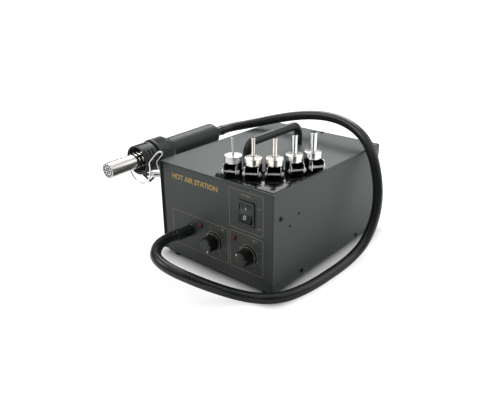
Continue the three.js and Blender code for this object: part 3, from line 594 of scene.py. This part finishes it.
def lettering(text, size, x, z, align="LEFT", bold=0.0):
    curve = bpy.data.curves.new("lettering", "FONT")
    curve.body, curve.size, curve.align_x, curve.align_y = text, size, align, "CENTER"
    curve.extrude, curve.offset = PRINT_T / 2, bold
    curve.resolution_u = 4
    holder = bpy.data.objects.new("lettering", curve)
    bpy.context.scene.collection.objects.link(holder)
    bpy.context.view_layer.update()
    made = holder.evaluated_get(bpy.context.evaluated_depsgraph_get())
    bm = bmesh.new()
    bm.from_mesh(made.to_mesh())
    made.to_mesh_clear()
    bpy.data.objects.remove(holder)
    bpy.data.curves.remove(curve)
    bmesh.ops.remove_doubles(bm, verts=bm.verts, dist=0.001)
    return moved(bm, facing_front(x, FRONT - PRINT_T / 2, z))


def printed(outline, inner=None):
    return moved(prism(outline, PRINT_T, inner), facing_front(0, FRONT, 0))


def print_frame(x0, x1, z0, z1, width=0.55, r=2.2):
    h = width / 2
    return printed(rounded_rect(x0 - h, x1 + h, z0 - h, z1 + h, r + h),
                   rounded_rect(x0 + h, x1 - h, z0 + h, z1 - h, r - h))


def print_arc(x, z, r, first, last, width=0.5, steps=48):
    """An arc with angles in degrees clockwise from straight up."""
    def line(radius):
        turns = [math.radians(first + (last - first) * k / steps) for k in range(steps + 1)]
        return [(x + radius * math.sin(t), z + radius * math.cos(t)) for t in turns]

    return printed(line(r - width / 2) + line(r + width / 2)[::-1])


def print_tick(x, z, degrees, r0, r1, width=0.45):
    t = math.radians(degrees)
    out, across = Vector((math.sin(t), math.cos(t))), Vector((math.cos(t), -math.sin(t))) * width / 2
    middle = Vector((x, z))
    return printed([middle + out * r0 - across, middle + out * r1 - across, middle + out * r1 + across,
                    middle + out * r0 + across])


def make_print():
    parts = [print_frame(-75.5, 22.5, 23, 71.5), print_frame(26, 78, 78, 128.5), print_frame(26, 78, 23, 73)]
    for x, z in KNOBS.values():
        parts.append(print_arc(x, z, 14.0, -150, 150))
        for k in range(8):
            degrees = -150 + 300 * k / 7
            t = math.radians(degrees)
            parts.append(print_tick(x, z, degrees, 14.2, 16.6))
            parts.append(lettering(str(k + 1), 3.4, x + 20 * math.sin(t), z + 20 * math.cos(t), "CENTER"))
    parts += [lettering("POWER", 4.2, 52, 123.6, "CENTER"), lettering("ON", 3.6, 72, 112, "CENTER"),
              lettering("OFF", 3.6, 72, 86, "CENTER"), lettering("AIR", 3.8, 13.5, 67.3, "CENTER"),
              lettering("HEAT", 3.8, 66, 69, "CENTER")]
    piece("panel_lines", joined(*parts), "print")
    piece("panel_title", lettering("HOT AIR STATION", 9.6, -73, 119.3, "LEFT", 0.28), "title")


# ---- Front controls ----
def make_switch():
    face = FRONT - GAP
    opening = rounded_rect(-9.9, 9.9, -11.9, 11.9, 0.6, 3)
    bezel = bevel(prism(rounded_rect(-12.5, 12.5, -15.5, 15.5, 1.2, 3), 1.8, opening), 0.45, 3, 50)
    well = prism(rounded_rect(-10.9, 10.9, -13.9, 13.9, 0.8, 3), 9.8, opening)
    floor = block(-9.9, 9.9, -11.9, 11.9, -10.4, -9.8)
    whole = joined(bezel, moved(well, Matrix.Translation((0, 0, -9.8))), floor)
    piece("switch_frame", moved(whole, facing_front(SWITCH_X, face, SWITCH_Z)), "switch",
          replaces=("switch_housing",))

    rock = Matrix.Translation((SWITCH_X, FRONT + 3, SWITCH_Z)) @ Matrix.Rotation(math.radians(-ROCK), 4, "X")
    halves = []
    for k in range(13):
        t = -1 + 2 * k / 12
        halves.append((-4.9 - 2.1 * abs(t) + 0.5 * math.sin(math.pi * abs(t)), 10.4 * t))
    side = [*halves, (3, 9.3), (5.3, 4), (5.3, -4), (3, -9.3)]
    body = bevel(prism(side, 19.0), 0.5, 3, 30)
    along_x = basis((0, 1, 0), (0, 0, 1), (1, 0, 0), (-9.5, 0, 0))
    piece("rocker_cap", moved(body, rock @ along_x), "switch", "power_rocker", ("switch_rocker",))
    marks = []
    for sign in (1, -1):
        slope = Vector((0, -2.1 * sign, 10.4)).normalized()
        out = Vector((1, 0, 0)).cross(slope)
        place = rock @ basis((1, 0, 0), slope, out, Vector((0, -5.55, 5.2 * sign)) + out * -0.02)
        if sign > 0:
            mark = prism(rounded_rect(-0.4, 0.4, -1.9, 1.9, 0.3, 2), 0.1)
        else:
            outside = [(x * 0.82, y) for x, y in circle(2.6, 28)]
            mark = prism(outside, 0.1, [(x * 0.72, y) for x, y in circle(1.85, 28)])
        marks.append(moved(mark, place))
    piece("rocker_marks", joined(*marks), "white", "power_rocker")


def make_knob(name):
    x, z = KNOBS[name]
    body = name + "_dial"
    place = facing_front(x, FRONT, z) @ Matrix.Rotation(math.radians(-KNOB_TURN[name]), 4, "Z")
    skirt = soften([(6, 0.8), (13, 0.8), (12.6, 2.7), (10.3, 2.8), (9.9, 15.6), (9.5, 16.6), (9.2, 16.9)], 0.6, 4)
    inner = soften([(3.3, 3.8), (6, 3.8), (6, 0.8)], 0.3, 2)
    shell = lathe([(0, 14.5), (3.3, 14.5), *inner, *skirt[1:], (8.7, 16.7), (0, 16.7)], 72)
    piece(name + "_knob_body", moved(shell, place), "knob", body, (name + "_knob",), 30)
    face = lathe(soften([(0, 16.72), (8.6, 16.72), (8.6, 17), (0.01, 16.86), (0, 16.86)], 0.12, 2), 64)
    piece(name + "_knob_cap", moved(face, place), "knob_face", body)
    ring_line = lathe([(12.2, 2.6), (12.55, 2.6), (12.55, 2.72), (12.2, 2.8), (12.2, 2.6)], 72)
    piece(name + "_knob_ring", moved(ring_line, place), "print", body)
    dot = lathe([(0, 0), (1.3, 0), (1.3, 0.25), (1.0, 0.36), (0, 0.38)], 24)
    piece(name + "_knob_dot", moved(dot, place @ Matrix.Translation((0, 7.9, 16.8))), "white", body)


def make_lamp(name):
    x, z = LAMPS[name]
    dome = [(3 * math.cos(math.pi / 2 * k / 10), 0.4 + 2.9 * math.sin(math.pi / 2 * k / 10)) for k in range(10)]
    bm = lathe([(0, -6), (3, -6), *dome, (0, 3.3)], 40)
    piece(name + "_lamp_lens", moved(bm, facing_front(x, FRONT, z)), "lamp", replaces=(name + "_lamp",))


def make_gland():
    x, z = GLAND
    flange = lathe(soften([(6.4, 0.3), (8.5, 0.3), (8.3, 1.0), (7.5, 1.8), (6.4, 1.8), (6.4, 0.3)], 0.4, 3), 56)
    path = spline(BOOT_ROUTE, 16)

    def girth(place):
        """Two shallow ribs, one where the boot leaves the flange and one near its open end."""
        rib = sum(math.exp(-((place - middle) / 0.03) ** 2) for middle in (0.22, 0.9))
        return BOOT_R - 0.35 + 0.35 * min(1, rib)

    boot = tube(path, girth, 48)
    piece("gland_boot", joined(moved(flange, facing_front(x, FRONT, z)), boot), "rubber", replaces=("hose_gland",))


# ---- Nozzles ----
def nozzle_shape(spout_r, spout, bent):
    r, wall = NOZZLE_R, 0.7
    bore = max(spout_r - 0.5, spout_r * 0.6)
    top = NOZZLE_TOP
    outer = soften([(r, NOZZLE_BASE), (r, top), (spout_r + 0.01, top)], 0.9, 5)
    flare = soften([(spout_r + 0.5, top), (spout_r, top + 0.6), (spout_r, top + spout), (bore, top + spout)],
                   0.25, 3)
    ledge = top - NOZZLE_RING
    profile = [(r - wall, NOZZLE_BASE), (r - 0.25, NOZZLE_BASE), (r - 0.25, ledge - 0.15), (r, ledge + 0.15),
               *outer[1:-1], *flare, (bore, top - 0.8), (r - wall, top - 0.8),
               (r - wall, NOZZLE_BASE)]
    cup = lathe(profile, 72)
    if bent:
        for v in cup.verts:
            rise = max(0, v.co.z - top) / spout
            v.co.x -= 1.1 * rise * rise
    opening = block(-EAR_X + 0.8, EAR_X - 0.8, -r - 2, 0, NOZZLE_BASE - 1, ledge)
    cup = carve(cup, opening)
    ears = []
    for sign in (-1, 1):
        outline = soften([(-6.2, SCREW_Z - 4.5), (-SCREW_OUT - 3, SCREW_Z - 4.5), (-SCREW_OUT - 3, ledge - 0.05),
                          (-6.2, ledge - 0.05)], 2.2, 5)
        hole = circle(1.8, len(outline), math.pi / 4)
        hole = [(a - SCREW_OUT, b + SCREW_Z) for a, b in hole]
        hole.sort(key=lambda q: math.atan2(q[1] - SCREW_Z, q[0] + SCREW_OUT))
        outline = sorted([tuple(q) for q in outline], key=lambda q: math.atan2(q[1] - SCREW_Z, q[0] + SCREW_OUT))
        plate = bevel(prism(outline, 0.8, hole), 0.15, 2, 60)
        start = EAR_X - 0.8 if sign > 0 else -EAR_X
        ears.append(moved(plate, basis((0, 1, 0), (0, 0, 1), (1, 0, 0), (start, 0, 0))))
    # The cup below its ring takes the near-black steel: painted shade.
    for face in cup.faces:
        if face.calc_center_median().z < ledge:
            face.material_index = 1
    return joined(cup, *ears)


def screw_shape():
    """Along +X from the outside of one ear to past the nut on the other."""
    line = [(0, -EAR_X - GAP - 2.3), *soften([(1.6, -EAR_X - GAP - 2.3), (2.6, -EAR_X - GAP - 1.4),
                                             (2.6, -EAR_X - GAP), (1.4, -EAR_X - GAP)], 0.4, 3)]
    x = -EAR_X
    while x < EAR_X + 3.0:
        line += [(1.4, x), (1.22, x + 0.25), (1.4, x + 0.5)]
        x += 0.5
    line += [(1.0, EAR_X + 3.4), (0, EAR_X + 3.4)]
    body = lathe(line, 28)
    cut = block(-0.4, 0.4, -4, 4, -EAR_X - GAP - 3, -EAR_X - GAP - 1.5)
    return moved(carve(body, cut), basis((0, 1, 0), (0, 0, 1), (1, 0, 0), (0, -SCREW_OUT, SCREW_Z)))


def nut_shape():
    bm = bevel(prism(circle(3, 24), 2.2, circle(1.75, 24)), 0.25, 2, 50)
    for v in bm.verts:
        if v.co.xy.length > 2.2:
            angle = math.atan2(v.co.y, v.co.x) % (math.pi / 3) - math.pi / 6
            v.co.xy = v.co.xy.normalized() * min(v.co.xy.length, 3) * math.cos(math.pi / 6) / math.cos(angle)
    return moved(bm, basis((0, 1, 0), (0, 0, 1), (1, 0, 0), (EAR_X + GAP, -SCREW_OUT, SCREW_Z)))


def make_nozzles():
    for i, (x, y, turn, spout_r, spout, look) in enumerate(NOZZLES, 1):
        place, body = facing_up(x, y, 0, turn), f"nozzle_set_{i}"
        cup = piece(f"nozzle_cup_{i}", moved(nozzle_shape(spout_r, spout, i == 1), place), look + "_steel", body,
                    (f"nozzle_{i}",), 30)
        # Second slot: the near-black steel that is painted shade on the lower cup.
        cup.data.materials.append(LOOK["painted_shade_steel"])
        piece(f"nozzle_screw_{i}", moved(screw_shape(), place), "plated_steel", body, (f"clamp_screw_{i}",))
        piece(f"nozzle_nut_{i}", moved(nut_shape(), place), "plated_steel", body, (f"clamp_nut_{i}",))


# ---- Handpiece, along its own axis from the collar's front face ----
def hand(name, bm, look, node, angle=38):
    return piece(name, moved(bm, HAND_FRAME), look, "handpiece", (node,) if node else (), angle)


def guard_shape():
    """A short tube with rings of slots, closed at the back by a step in to a hub round the heater tube."""
    wall, lip = 1.8, 0.3
    first_slot, slot_pitch, slot_width = 3, 5.6, 2.5
    heights = [GUARD_FRONT, GUARD_FRONT + 0.5]
    for row in range(3):
        start = GUARD_FRONT + first_slot + row * slot_pitch
        heights += [start, start + slot_width]
    heights += [-3.2, -2.2, -1.4]
    angles = []
    for middle in (72, 162, 252, 342):
        angles += [(middle - 31 + 62 * k / 8, k < 8) for k in range(9)]
        angles += [(middle + 31 + 28 * k / 4, False) for k in range(1, 4)]
    bm = bmesh.new()

    def ring(r, h):
        return [bm.verts.new((r * math.cos(math.radians(a)), r * math.sin(math.radians(a)), h)) for a, _ in angles]

    outer, inner = [], []
    for h in heights:
        r = GUARD_R
        if h > -3:
            r -= 0.5 if h < -2 else 1.6
        if h == GUARD_FRONT:
            r -= lip
        outer.append(ring(r, h))
    for h in heights[:-2]:
        inner.append(ring(GUARD_R - wall + (lip if h == GUARD_FRONT else 0), h))
    count = len(angles)
    slot_rows = {2, 4, 6}
    for j in range(len(heights) - 1):
        for k in range(count):
            n = (k + 1) % count
            is_slot = j in slot_rows and angles[k][1]
            if not is_slot:
                bm.faces.new((outer[j][k], outer[j][n], outer[j + 1][n], outer[j + 1][k]))
                if j + 1 < len(inner):
                    bm.faces.new((inner[j][k], inner[j + 1][k], inner[j + 1][n], inner[j][n]))
                continue
            bm.faces.new((outer[j][k], outer[j][n], inner[j][n], inner[j][k]))
            bm.faces.new((outer[j + 1][k], inner[j + 1][k], inner[j + 1][n], outer[j + 1][n]))
            if not angles[k - 1][1]:
                bm.faces.new((outer[j][k], inner[j][k], inner[j + 1][k], outer[j + 1][k]))
            if not angles[n][1]:
                bm.faces.new((outer[j][n], outer[j + 1][n], inner[j + 1][n], inner[j][n]))
    for k in range(count):
        n = (k + 1) % count
        bm.faces.new((outer[0][k], inner[0][k], inner[0][n], outer[0][n]))
    hub = TUBE_R + 0.5
    rings = [ring(r, h) for r, h in ((hub, -3.2), (hub, -GAP), (17, -GAP), (17, -1.4))]
    chain = [inner[-1], *rings, outer[-1]]
    for a, b in zip(chain, chain[1:]):
        for k in range(count):
            n = (k + 1) % count
            bm.faces.new((a[k], a[n], b[n], b[k]))
    for v in [v for v in bm.verts if not v.link_faces]:
        bm.verts.remove(v)
    bmesh.ops.recalc_face_normals(bm, faces=bm.faces)
    return bm


def grille_shape():
    disc = lathe([(0, TIP + 0.6), (9.0, TIP + 0.6), (9.0, TIP + 1.6), (0, TIP + 1.6)], 64)
    holes = []
    for radius, count in ((0, 1), (3.5, 6), (6.9, 12)):
        for k in range(count):
            t = 2 * math.pi * k / count
            hole = lathe([(0, -2), (1.45, -2), (1.45, 2), (0, 2)], 20)
            holes.append(moved(hole, Matrix.Translation((radius * math.cos(t), radius * math.sin(t), TIP + 1))))
    disc = carve(disc, *holes)
    # Hole walls and rim take the dark element finish: painted shade in the holes.
    for face in disc.faces:
        if abs(face.normal.z) < 0.5:
            face.material_index = 1
    return disc


def make_heater_tube():
    """Brushed at its open end and polished where it goes into the guard, where a darker steel is painted shade
    from the guard; dark inside as painted shade in the bore.
    """
    # From here into the guard the tube takes the darker mirror steel: polished, with painted shade in its colour.
    mirror_shade_from = GUARD_FRONT - 8
    line = soften([(9.3, 8), (9.3, TIP), (TUBE_R, TIP), (TUBE_R, 8)], 0.25, 3)
    line[-1:] = [(TUBE_R, mirror_shade_from), line[-1]]
    bm = lathe([*line, line[0]], 72)
    # Faces inside the bore take the dark element finish: painted shade.
    for face in bm.faces:
        middle = face.calc_center_median()
        if math.hypot(middle.x, middle.y) < 9.4:
            face.material_index = 2
        elif middle.z > mirror_shade_from:
            face.material_index = 1
    made = hand("polished_tube", bm, "tube_steel", "heater_tube")
    made.data.materials.append(LOOK["mirror_and_shade_steel"])
    made.data.materials.append(LOOK["element_and_bore_shade"])


def make_handpiece():
    make_heater_tube()
    disc = hand("outlet_disc", grille_shape(), "satin_steel", "outlet_grille")
    disc.data.materials.append(LOOK["element_and_bore_shade"])
    hand("slotted_guard", guard_shape(), "grip", "heater_guard")

    def knurl(t, h, r):
        inside = 2.5 < h < COLLAR_STRAIGHT - 1.5 and r > COLLAR_R - 0.1
        return -0.45 * (0.5 + 0.5 * math.cos(90 * t)) if inside else 0

    levels = [(COLLAR_R, 1 + (COLLAR_STRAIGHT - 1) * k / 20) for k in range(21)]
    front = soften([(TUBE_R + 0.6, 0), (COLLAR_R - 0.7, 0), (COLLAR_R, 0.9)], 0.4, 3)
    cone = soften([(COLLAR_R, COLLAR_STRAIGHT + 0.2), (20.1, COLLAR_STRAIGHT + 1.9),
                   (GRIP_R + 1.3, COLLAR_LEN - 1), (GRIP_R + 0.8, COLLAR_LEN), (GRIP_R + GAP, COLLAR_LEN)], 1.2, 4)
    line = [(TUBE_R + 0.5, 0), *front[1:], *levels, *cone, (GRIP_R + GAP, 20), (TUBE_R + 0.5, 20),
            (TUBE_R + 0.5, 0)]
    hand("knurled_collar", lathe(line, 360, knurl), "grip", "handle_collar", 60)
    end = [(GRIP_R - 5 + 5 * math.cos(math.pi / 2 * k / 10), GRIP_END - 5 + 5 * math.sin(math.pi / 2 * k / 10))
           for k in range(11)]
    grip = [(13, 20.3), (GRIP_R, 20.3), *end, (6.6, GRIP_END), (6.6, GRIP_END - 3.8), (13, GRIP_END - 6),
            (13, 20.3)]
    hand("grip_shell", lathe(grip, 96), "grip", "handle_grip", 50)
    seam = lathe([(GRIP_R + 0.05, COLLAR_LEN + 0.1), (GRIP_R + 0.45, COLLAR_LEN + 0.1),
                  (GRIP_R + 0.45, COLLAR_LEN + 0.5), (GRIP_R + 0.05, COLLAR_LEN + 0.5),
                  (GRIP_R + 0.05, COLLAR_LEN + 0.1)], 96)
    hand("collar_seam", seam, "knob_face", None)
    tail = [(0, 108), (9, 108), (9, 112.5), (6.2, 112.5), (6.2, GRIP_END + GAP)]
    tail += soften([(8, GRIP_END + GAP), (8, 126), (7.1, 127.2), (7.1, 135.8), (7.6, 137), (7.6, TAIL_END),
                    (0.01, TAIL_END)], 0.6, 3)
    hand("tail_boot", lathe([*tail, (0, TAIL_END)], 48), "rubber", "tail_sleeve")


# ---- Holder ----
TONGUE = (-97.6, -106.4)
TONGUE_AXIS = (-0.785, -0.62)


def on_tongue(t, out):
    ax, ay = TONGUE_AXIS
    return (TONGUE[0] + t * ax - out * ay, TONGUE[1] + t * ay + out * ax)


def arc_xz(x, y, z, r, first, last, count):
    return [(x + r * math.cos(math.radians(first + (last - first) * k / (count - 1))), y,
             z + r * math.sin(math.radians(first + (last - first) * k / (count - 1)))) for k in range(count)]


def make_holder():
    half = GUARD_R + WIRE_R + 0.4
    cradle_y, grip_y = -137.9, -41.4
    hx = HAND[0]
    grip_z = HAND[2] + (grip_y - HAND[1]) * math.tan(math.radians(HAND_TILT))
    rest = GRIP_R + WIRE_R + 0.5
    path = [
        (*on_tongue(20, 1.15 + WIRE_R), 109), (*on_tongue(9, 1.35 + WIRE_R), 109.5), (-99.8, -115.9, 113),
        (-98.9, -119.6, 118.5), (-96.9, -126, 132.5), (-89, -127.7, 140.8), (-82.2, -128.7, 147.2),
        (-80.9, -129.9, 150.2), (-83.2, -131.9, 151.2), (-87, -133.4, 149), (-93, -135.9, 141.5),
        (hx + half, cradle_y, 135), (hx + half, cradle_y, 129),
        *arc_xz(hx, cradle_y, 123, half, 0, -180, 9),
        (hx - half, cradle_y, 129), (hx - half - 0.3, cradle_y + 1, 136), (hx - half - 1.4, -133.4, 140.5),
        (hx - half - 2, -126.4, 139.5), (hx - half - 2.2, -114.4, 133), (hx - half - 1.4, -91.4, 127),
        (hx - half + 1, -61.4, 125.5),
        *arc_xz(hx, grip_y, grip_z, rest, 202, 310, 6),
        (-103.5, -46.4, 117), (-100.4, -56.4, 108), (-100.1, -68.4, 102),
    ]
    piece("holder_hairpin", tube(spline(path, 8), WIRE_R, 16, True), "wire_steel", replaces=("holder_wire",))


def make_fittings():
    """The two screws that hold the bracket on."""
    heads = [moved(pan_screw(2.6, 1.5), facing_side(-1, LEFT - GAP - 1.5, y, z)) for y, z in BRACKET_SCREWS]
    piece("bracket_screws", joined(*heads), "zinc")


def dress(node, look, width=0.25):
    """Gives a CAD node that stays its finish, and takes the sharpness off its edges."""
    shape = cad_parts[node]
    shape.data.materials.clear()
    shape.data.materials.append(LOOK[look])
    weld = shape.modifiers.new("weld", "WELD")
    weld.merge_threshold = 1e-6
    if width:
        soft = shape.modifiers.new("soft", "BEVEL")
        soft.width, soft.segments = width / 1000, 2
        soft.limit_method, soft.angle_limit = "ANGLE", math.radians(40)
        soft.harden_normals = False


KEPT = {
    # The chassis takes the near-black finish that is painted shade.
    "chassis": ("inside", 0), "front_panel": ("panel", 0.12), "holder_gusset": ("powder", 0.15),
    "holder_bracket": ("sheet_steel", 0.15), "gland_nut": ("zinc", 0.2), "air_tube": ("rubber", 0),
    "air_control": ("zinc", 0.2), "heat_control": ("zinc", 0.2), "air_control_shaft": ("bright_steel", 0.1),
    "heat_control_shaft": ("bright_steel", 0.1), "control_board": ("board", 0.1),
    "transformer_core": ("iron", 0.3),
    "transformer_coil": ("copper", 0.6), "pump_base": ("zinc", 0.2), "pump_core": ("iron", 0.2),
    "pump_coil": ("copper", 0.4), "pump_arm": ("zinc", 0.3),
    "pump_chamber": ("plastic", 0.4), "mains_inlet": ("plastic", 0.25), "fuse_holder": ("plastic", 0),
    "fuse_cap": ("plastic", 0.2), "heater_element": ("element_and_bore_shade", 0),
}

make_cover()
make_screws()
make_feet()
make_handle()
make_plate()
make_print()
make_switch()
for control in KNOBS:
    make_knob(control)
    make_lamp(control)
make_gland()
make_nozzles()
make_handpiece()
make_holder()
make_fittings()
for kept_node, (kept_look, kept_width) in KEPT.items():
    dress(kept_node, kept_look, kept_width)


# ---- Studio ----
# The floor's own grey, how much it is lifted to what the camera and what reflections see, and over how many
# metres from the case each lift comes in.
FLOOR_TONE, FLOOR_LIFT, FLOOR_SHADE, GLOSS_LIFT, GLOSS_SHADE = 0.62, 0.70, 0.027, 0.62, 0.2
SKY_HORIZON, SKY_ZENITH, SKY_POWER = 0.05, 0.95, 1.7
CARD_PLACE, CARD_AIM = (330, -330, 0), (40, -70, 0)
# name, place in metres, aim in millimetres, size in metres, watts
LIGHTS = (
    ("key", (-0.9, 1.3, 1.6), (0, 0, 70), 1.3, 24),
    ("left", (-1.2, -1.2, 1.5), (0, 0, 70), 1.0, 8.5),
    ("right", (0.62, 0.62, 0.5), (93, 90, 60), 0.8, 1.8),
)


def area_light(name, place, aim, size, power):
    data = bpy.data.lights.new(name, "AREA")
    data.energy = power
    data.size = size
    lamp = bpy.data.objects.new(name, data)
    bpy.context.scene.collection.objects.link(lamp)
    lamp.location = place
    lamp.visible_camera = False
    lamp.rotation_euler = (Vector(aim) - Vector(place)).to_track_quat("-Z", "Y").to_euler()
    return lamp


def math_node(tree, operation, *values):
    node = tree.nodes.new("ShaderNodeMath")
    node.operation = operation
    for socket, value in zip(node.inputs, values):
        if isinstance(value, (int, float)):
            socket.default_value = value
        else:
            tree.links.new(value, socket)
    return node.outputs[0]


def ray_kind(tree, kind):
    """1 for rays of this kind, such as what the camera sees directly, and 0 for the others."""
    return tree.nodes.new("ShaderNodeLightPath").outputs[f"Is {kind} Ray"]


def make_floor():
    """A matt floor whitened to the camera and to reflections, except close round the case."""
    bm = bmesh.new()
    bmesh.ops.create_grid(bm, x_segments=2, y_segments=2, size=30)
    mesh = bpy.data.meshes.new("floor")
    bm.to_mesh(mesh)
    bm.free()
    floor = bpy.data.objects.new("floor", mesh)
    look = bpy.data.materials.new("floor")
    look.use_nodes = True
    tree = look.node_tree
    shader = tree.nodes["Principled BSDF"]
    shader.inputs["Base Color"].default_value = (*grey(FLOOR_TONE), 1)
    shader.inputs["Roughness"].default_value = 0.9
    shader.inputs["Specular IOR Level"].default_value = 0
    shader.inputs["Emission Color"].default_value = (1, 1, 1, 1)
    apart = tree.nodes.new("ShaderNodeSeparateXYZ")
    tree.links.new(tree.nodes.new("ShaderNodeTexCoord").outputs["Object"], apart.inputs[0])
    middle = at((LEFT + SIDE) / 2, 0, 0)
    squares = []
    for axis, half in (("X", (SIDE - LEFT) / 2000), ("Y", BACK / 1000)):
        off = math_node(tree, "SUBTRACT", apart.outputs[axis], middle["XY".index(axis)])
        past = math_node(tree, "SUBTRACT", math_node(tree, "ABSOLUTE", off), half)
        beyond = math_node(tree, "MAXIMUM", past, 0.0)
        squares.append(math_node(tree, "MULTIPLY", beyond, beyond))
    distance = math_node(tree, "SQRT", math_node(tree, "ADD", *squares))

    def lift(kind, strength, width):
        away = math_node(tree, "MINIMUM", math_node(tree, "DIVIDE", distance, width), 1.0)
        return math_node(tree, "MULTIPLY", math_node(tree, "MULTIPLY", away, strength), ray_kind(tree, kind))

    both = math_node(tree, "ADD", lift("Camera", FLOOR_LIFT, FLOOR_SHADE), lift("Glossy", GLOSS_LIFT, GLOSS_SHADE))
    tree.links.new(both, shader.inputs["Emission Strength"])
    mesh.materials.append(look)
    bpy.context.scene.collection.objects.link(floor)


def make_dark_card():
    """Seen only in reflections: the dark shape in front of the bench that polished steel shows."""
    bm = prism(rounded_rect(-150, 150, 0, 620, 20), 2)
    bm.transform(Matrix.Scale(0.001, 4))
    mesh = bpy.data.meshes.new("dark_card")
    bm.to_mesh(mesh)
    bm.free()
    look = bpy.data.materials.new("dark_card")
    look.use_nodes = True
    look.node_tree.nodes["Principled BSDF"].inputs["Base Color"].default_value = (*grey(0.01), 1)
    mesh.materials.append(look)
    card = bpy.data.objects.new("dark_card", mesh)
    bpy.context.scene.collection.objects.link(card)
    place = at(*CARD_PLACE)
    facing = (at(*CARD_AIM) - place).to_track_quat("Z", "Y").to_matrix().to_4x4()
    card.matrix_world = Matrix.Translation(place) @ facing
    card.visible_camera = card.visible_diffuse = card.visible_shadow = False


def make_sky():
    """Bright overhead and dark towards the horizon, with plain white behind the object."""
    world = bpy.data.worlds.new("studio")
    world.use_nodes = True
    tree = world.node_tree
    apart = tree.nodes.new("ShaderNodeSeparateXYZ")
    tree.links.new(tree.nodes.new("ShaderNodeTexCoord").outputs["Generated"], apart.inputs[0])
    steep = math_node(tree, "POWER", math_node(tree, "MAXIMUM", apart.outputs["Z"], 0.0), SKY_POWER)
    glow = math_node(tree, "MULTIPLY_ADD", steep, SKY_ZENITH, SKY_HORIZON)
    seen = ray_kind(tree, "Camera")
    unseen = math_node(tree, "SUBTRACT", 1.0, seen)
    background = tree.nodes["Background"]
    tree.links.new(math_node(tree, "MULTIPLY_ADD", glow, unseen, seen), background.inputs["Strength"])
    background.inputs["Color"].default_value = (1, 1, 1, 1)
    bpy.context.scene.world = world


def make_studio():
    make_floor()
    make_dark_card()
    make_sky()
    bpy.context.scene.view_settings.view_transform = "Standard"
    for name, place, aim, size, power in LIGHTS:
        area_light(name, place, at(*aim), size, power)


make_studio()
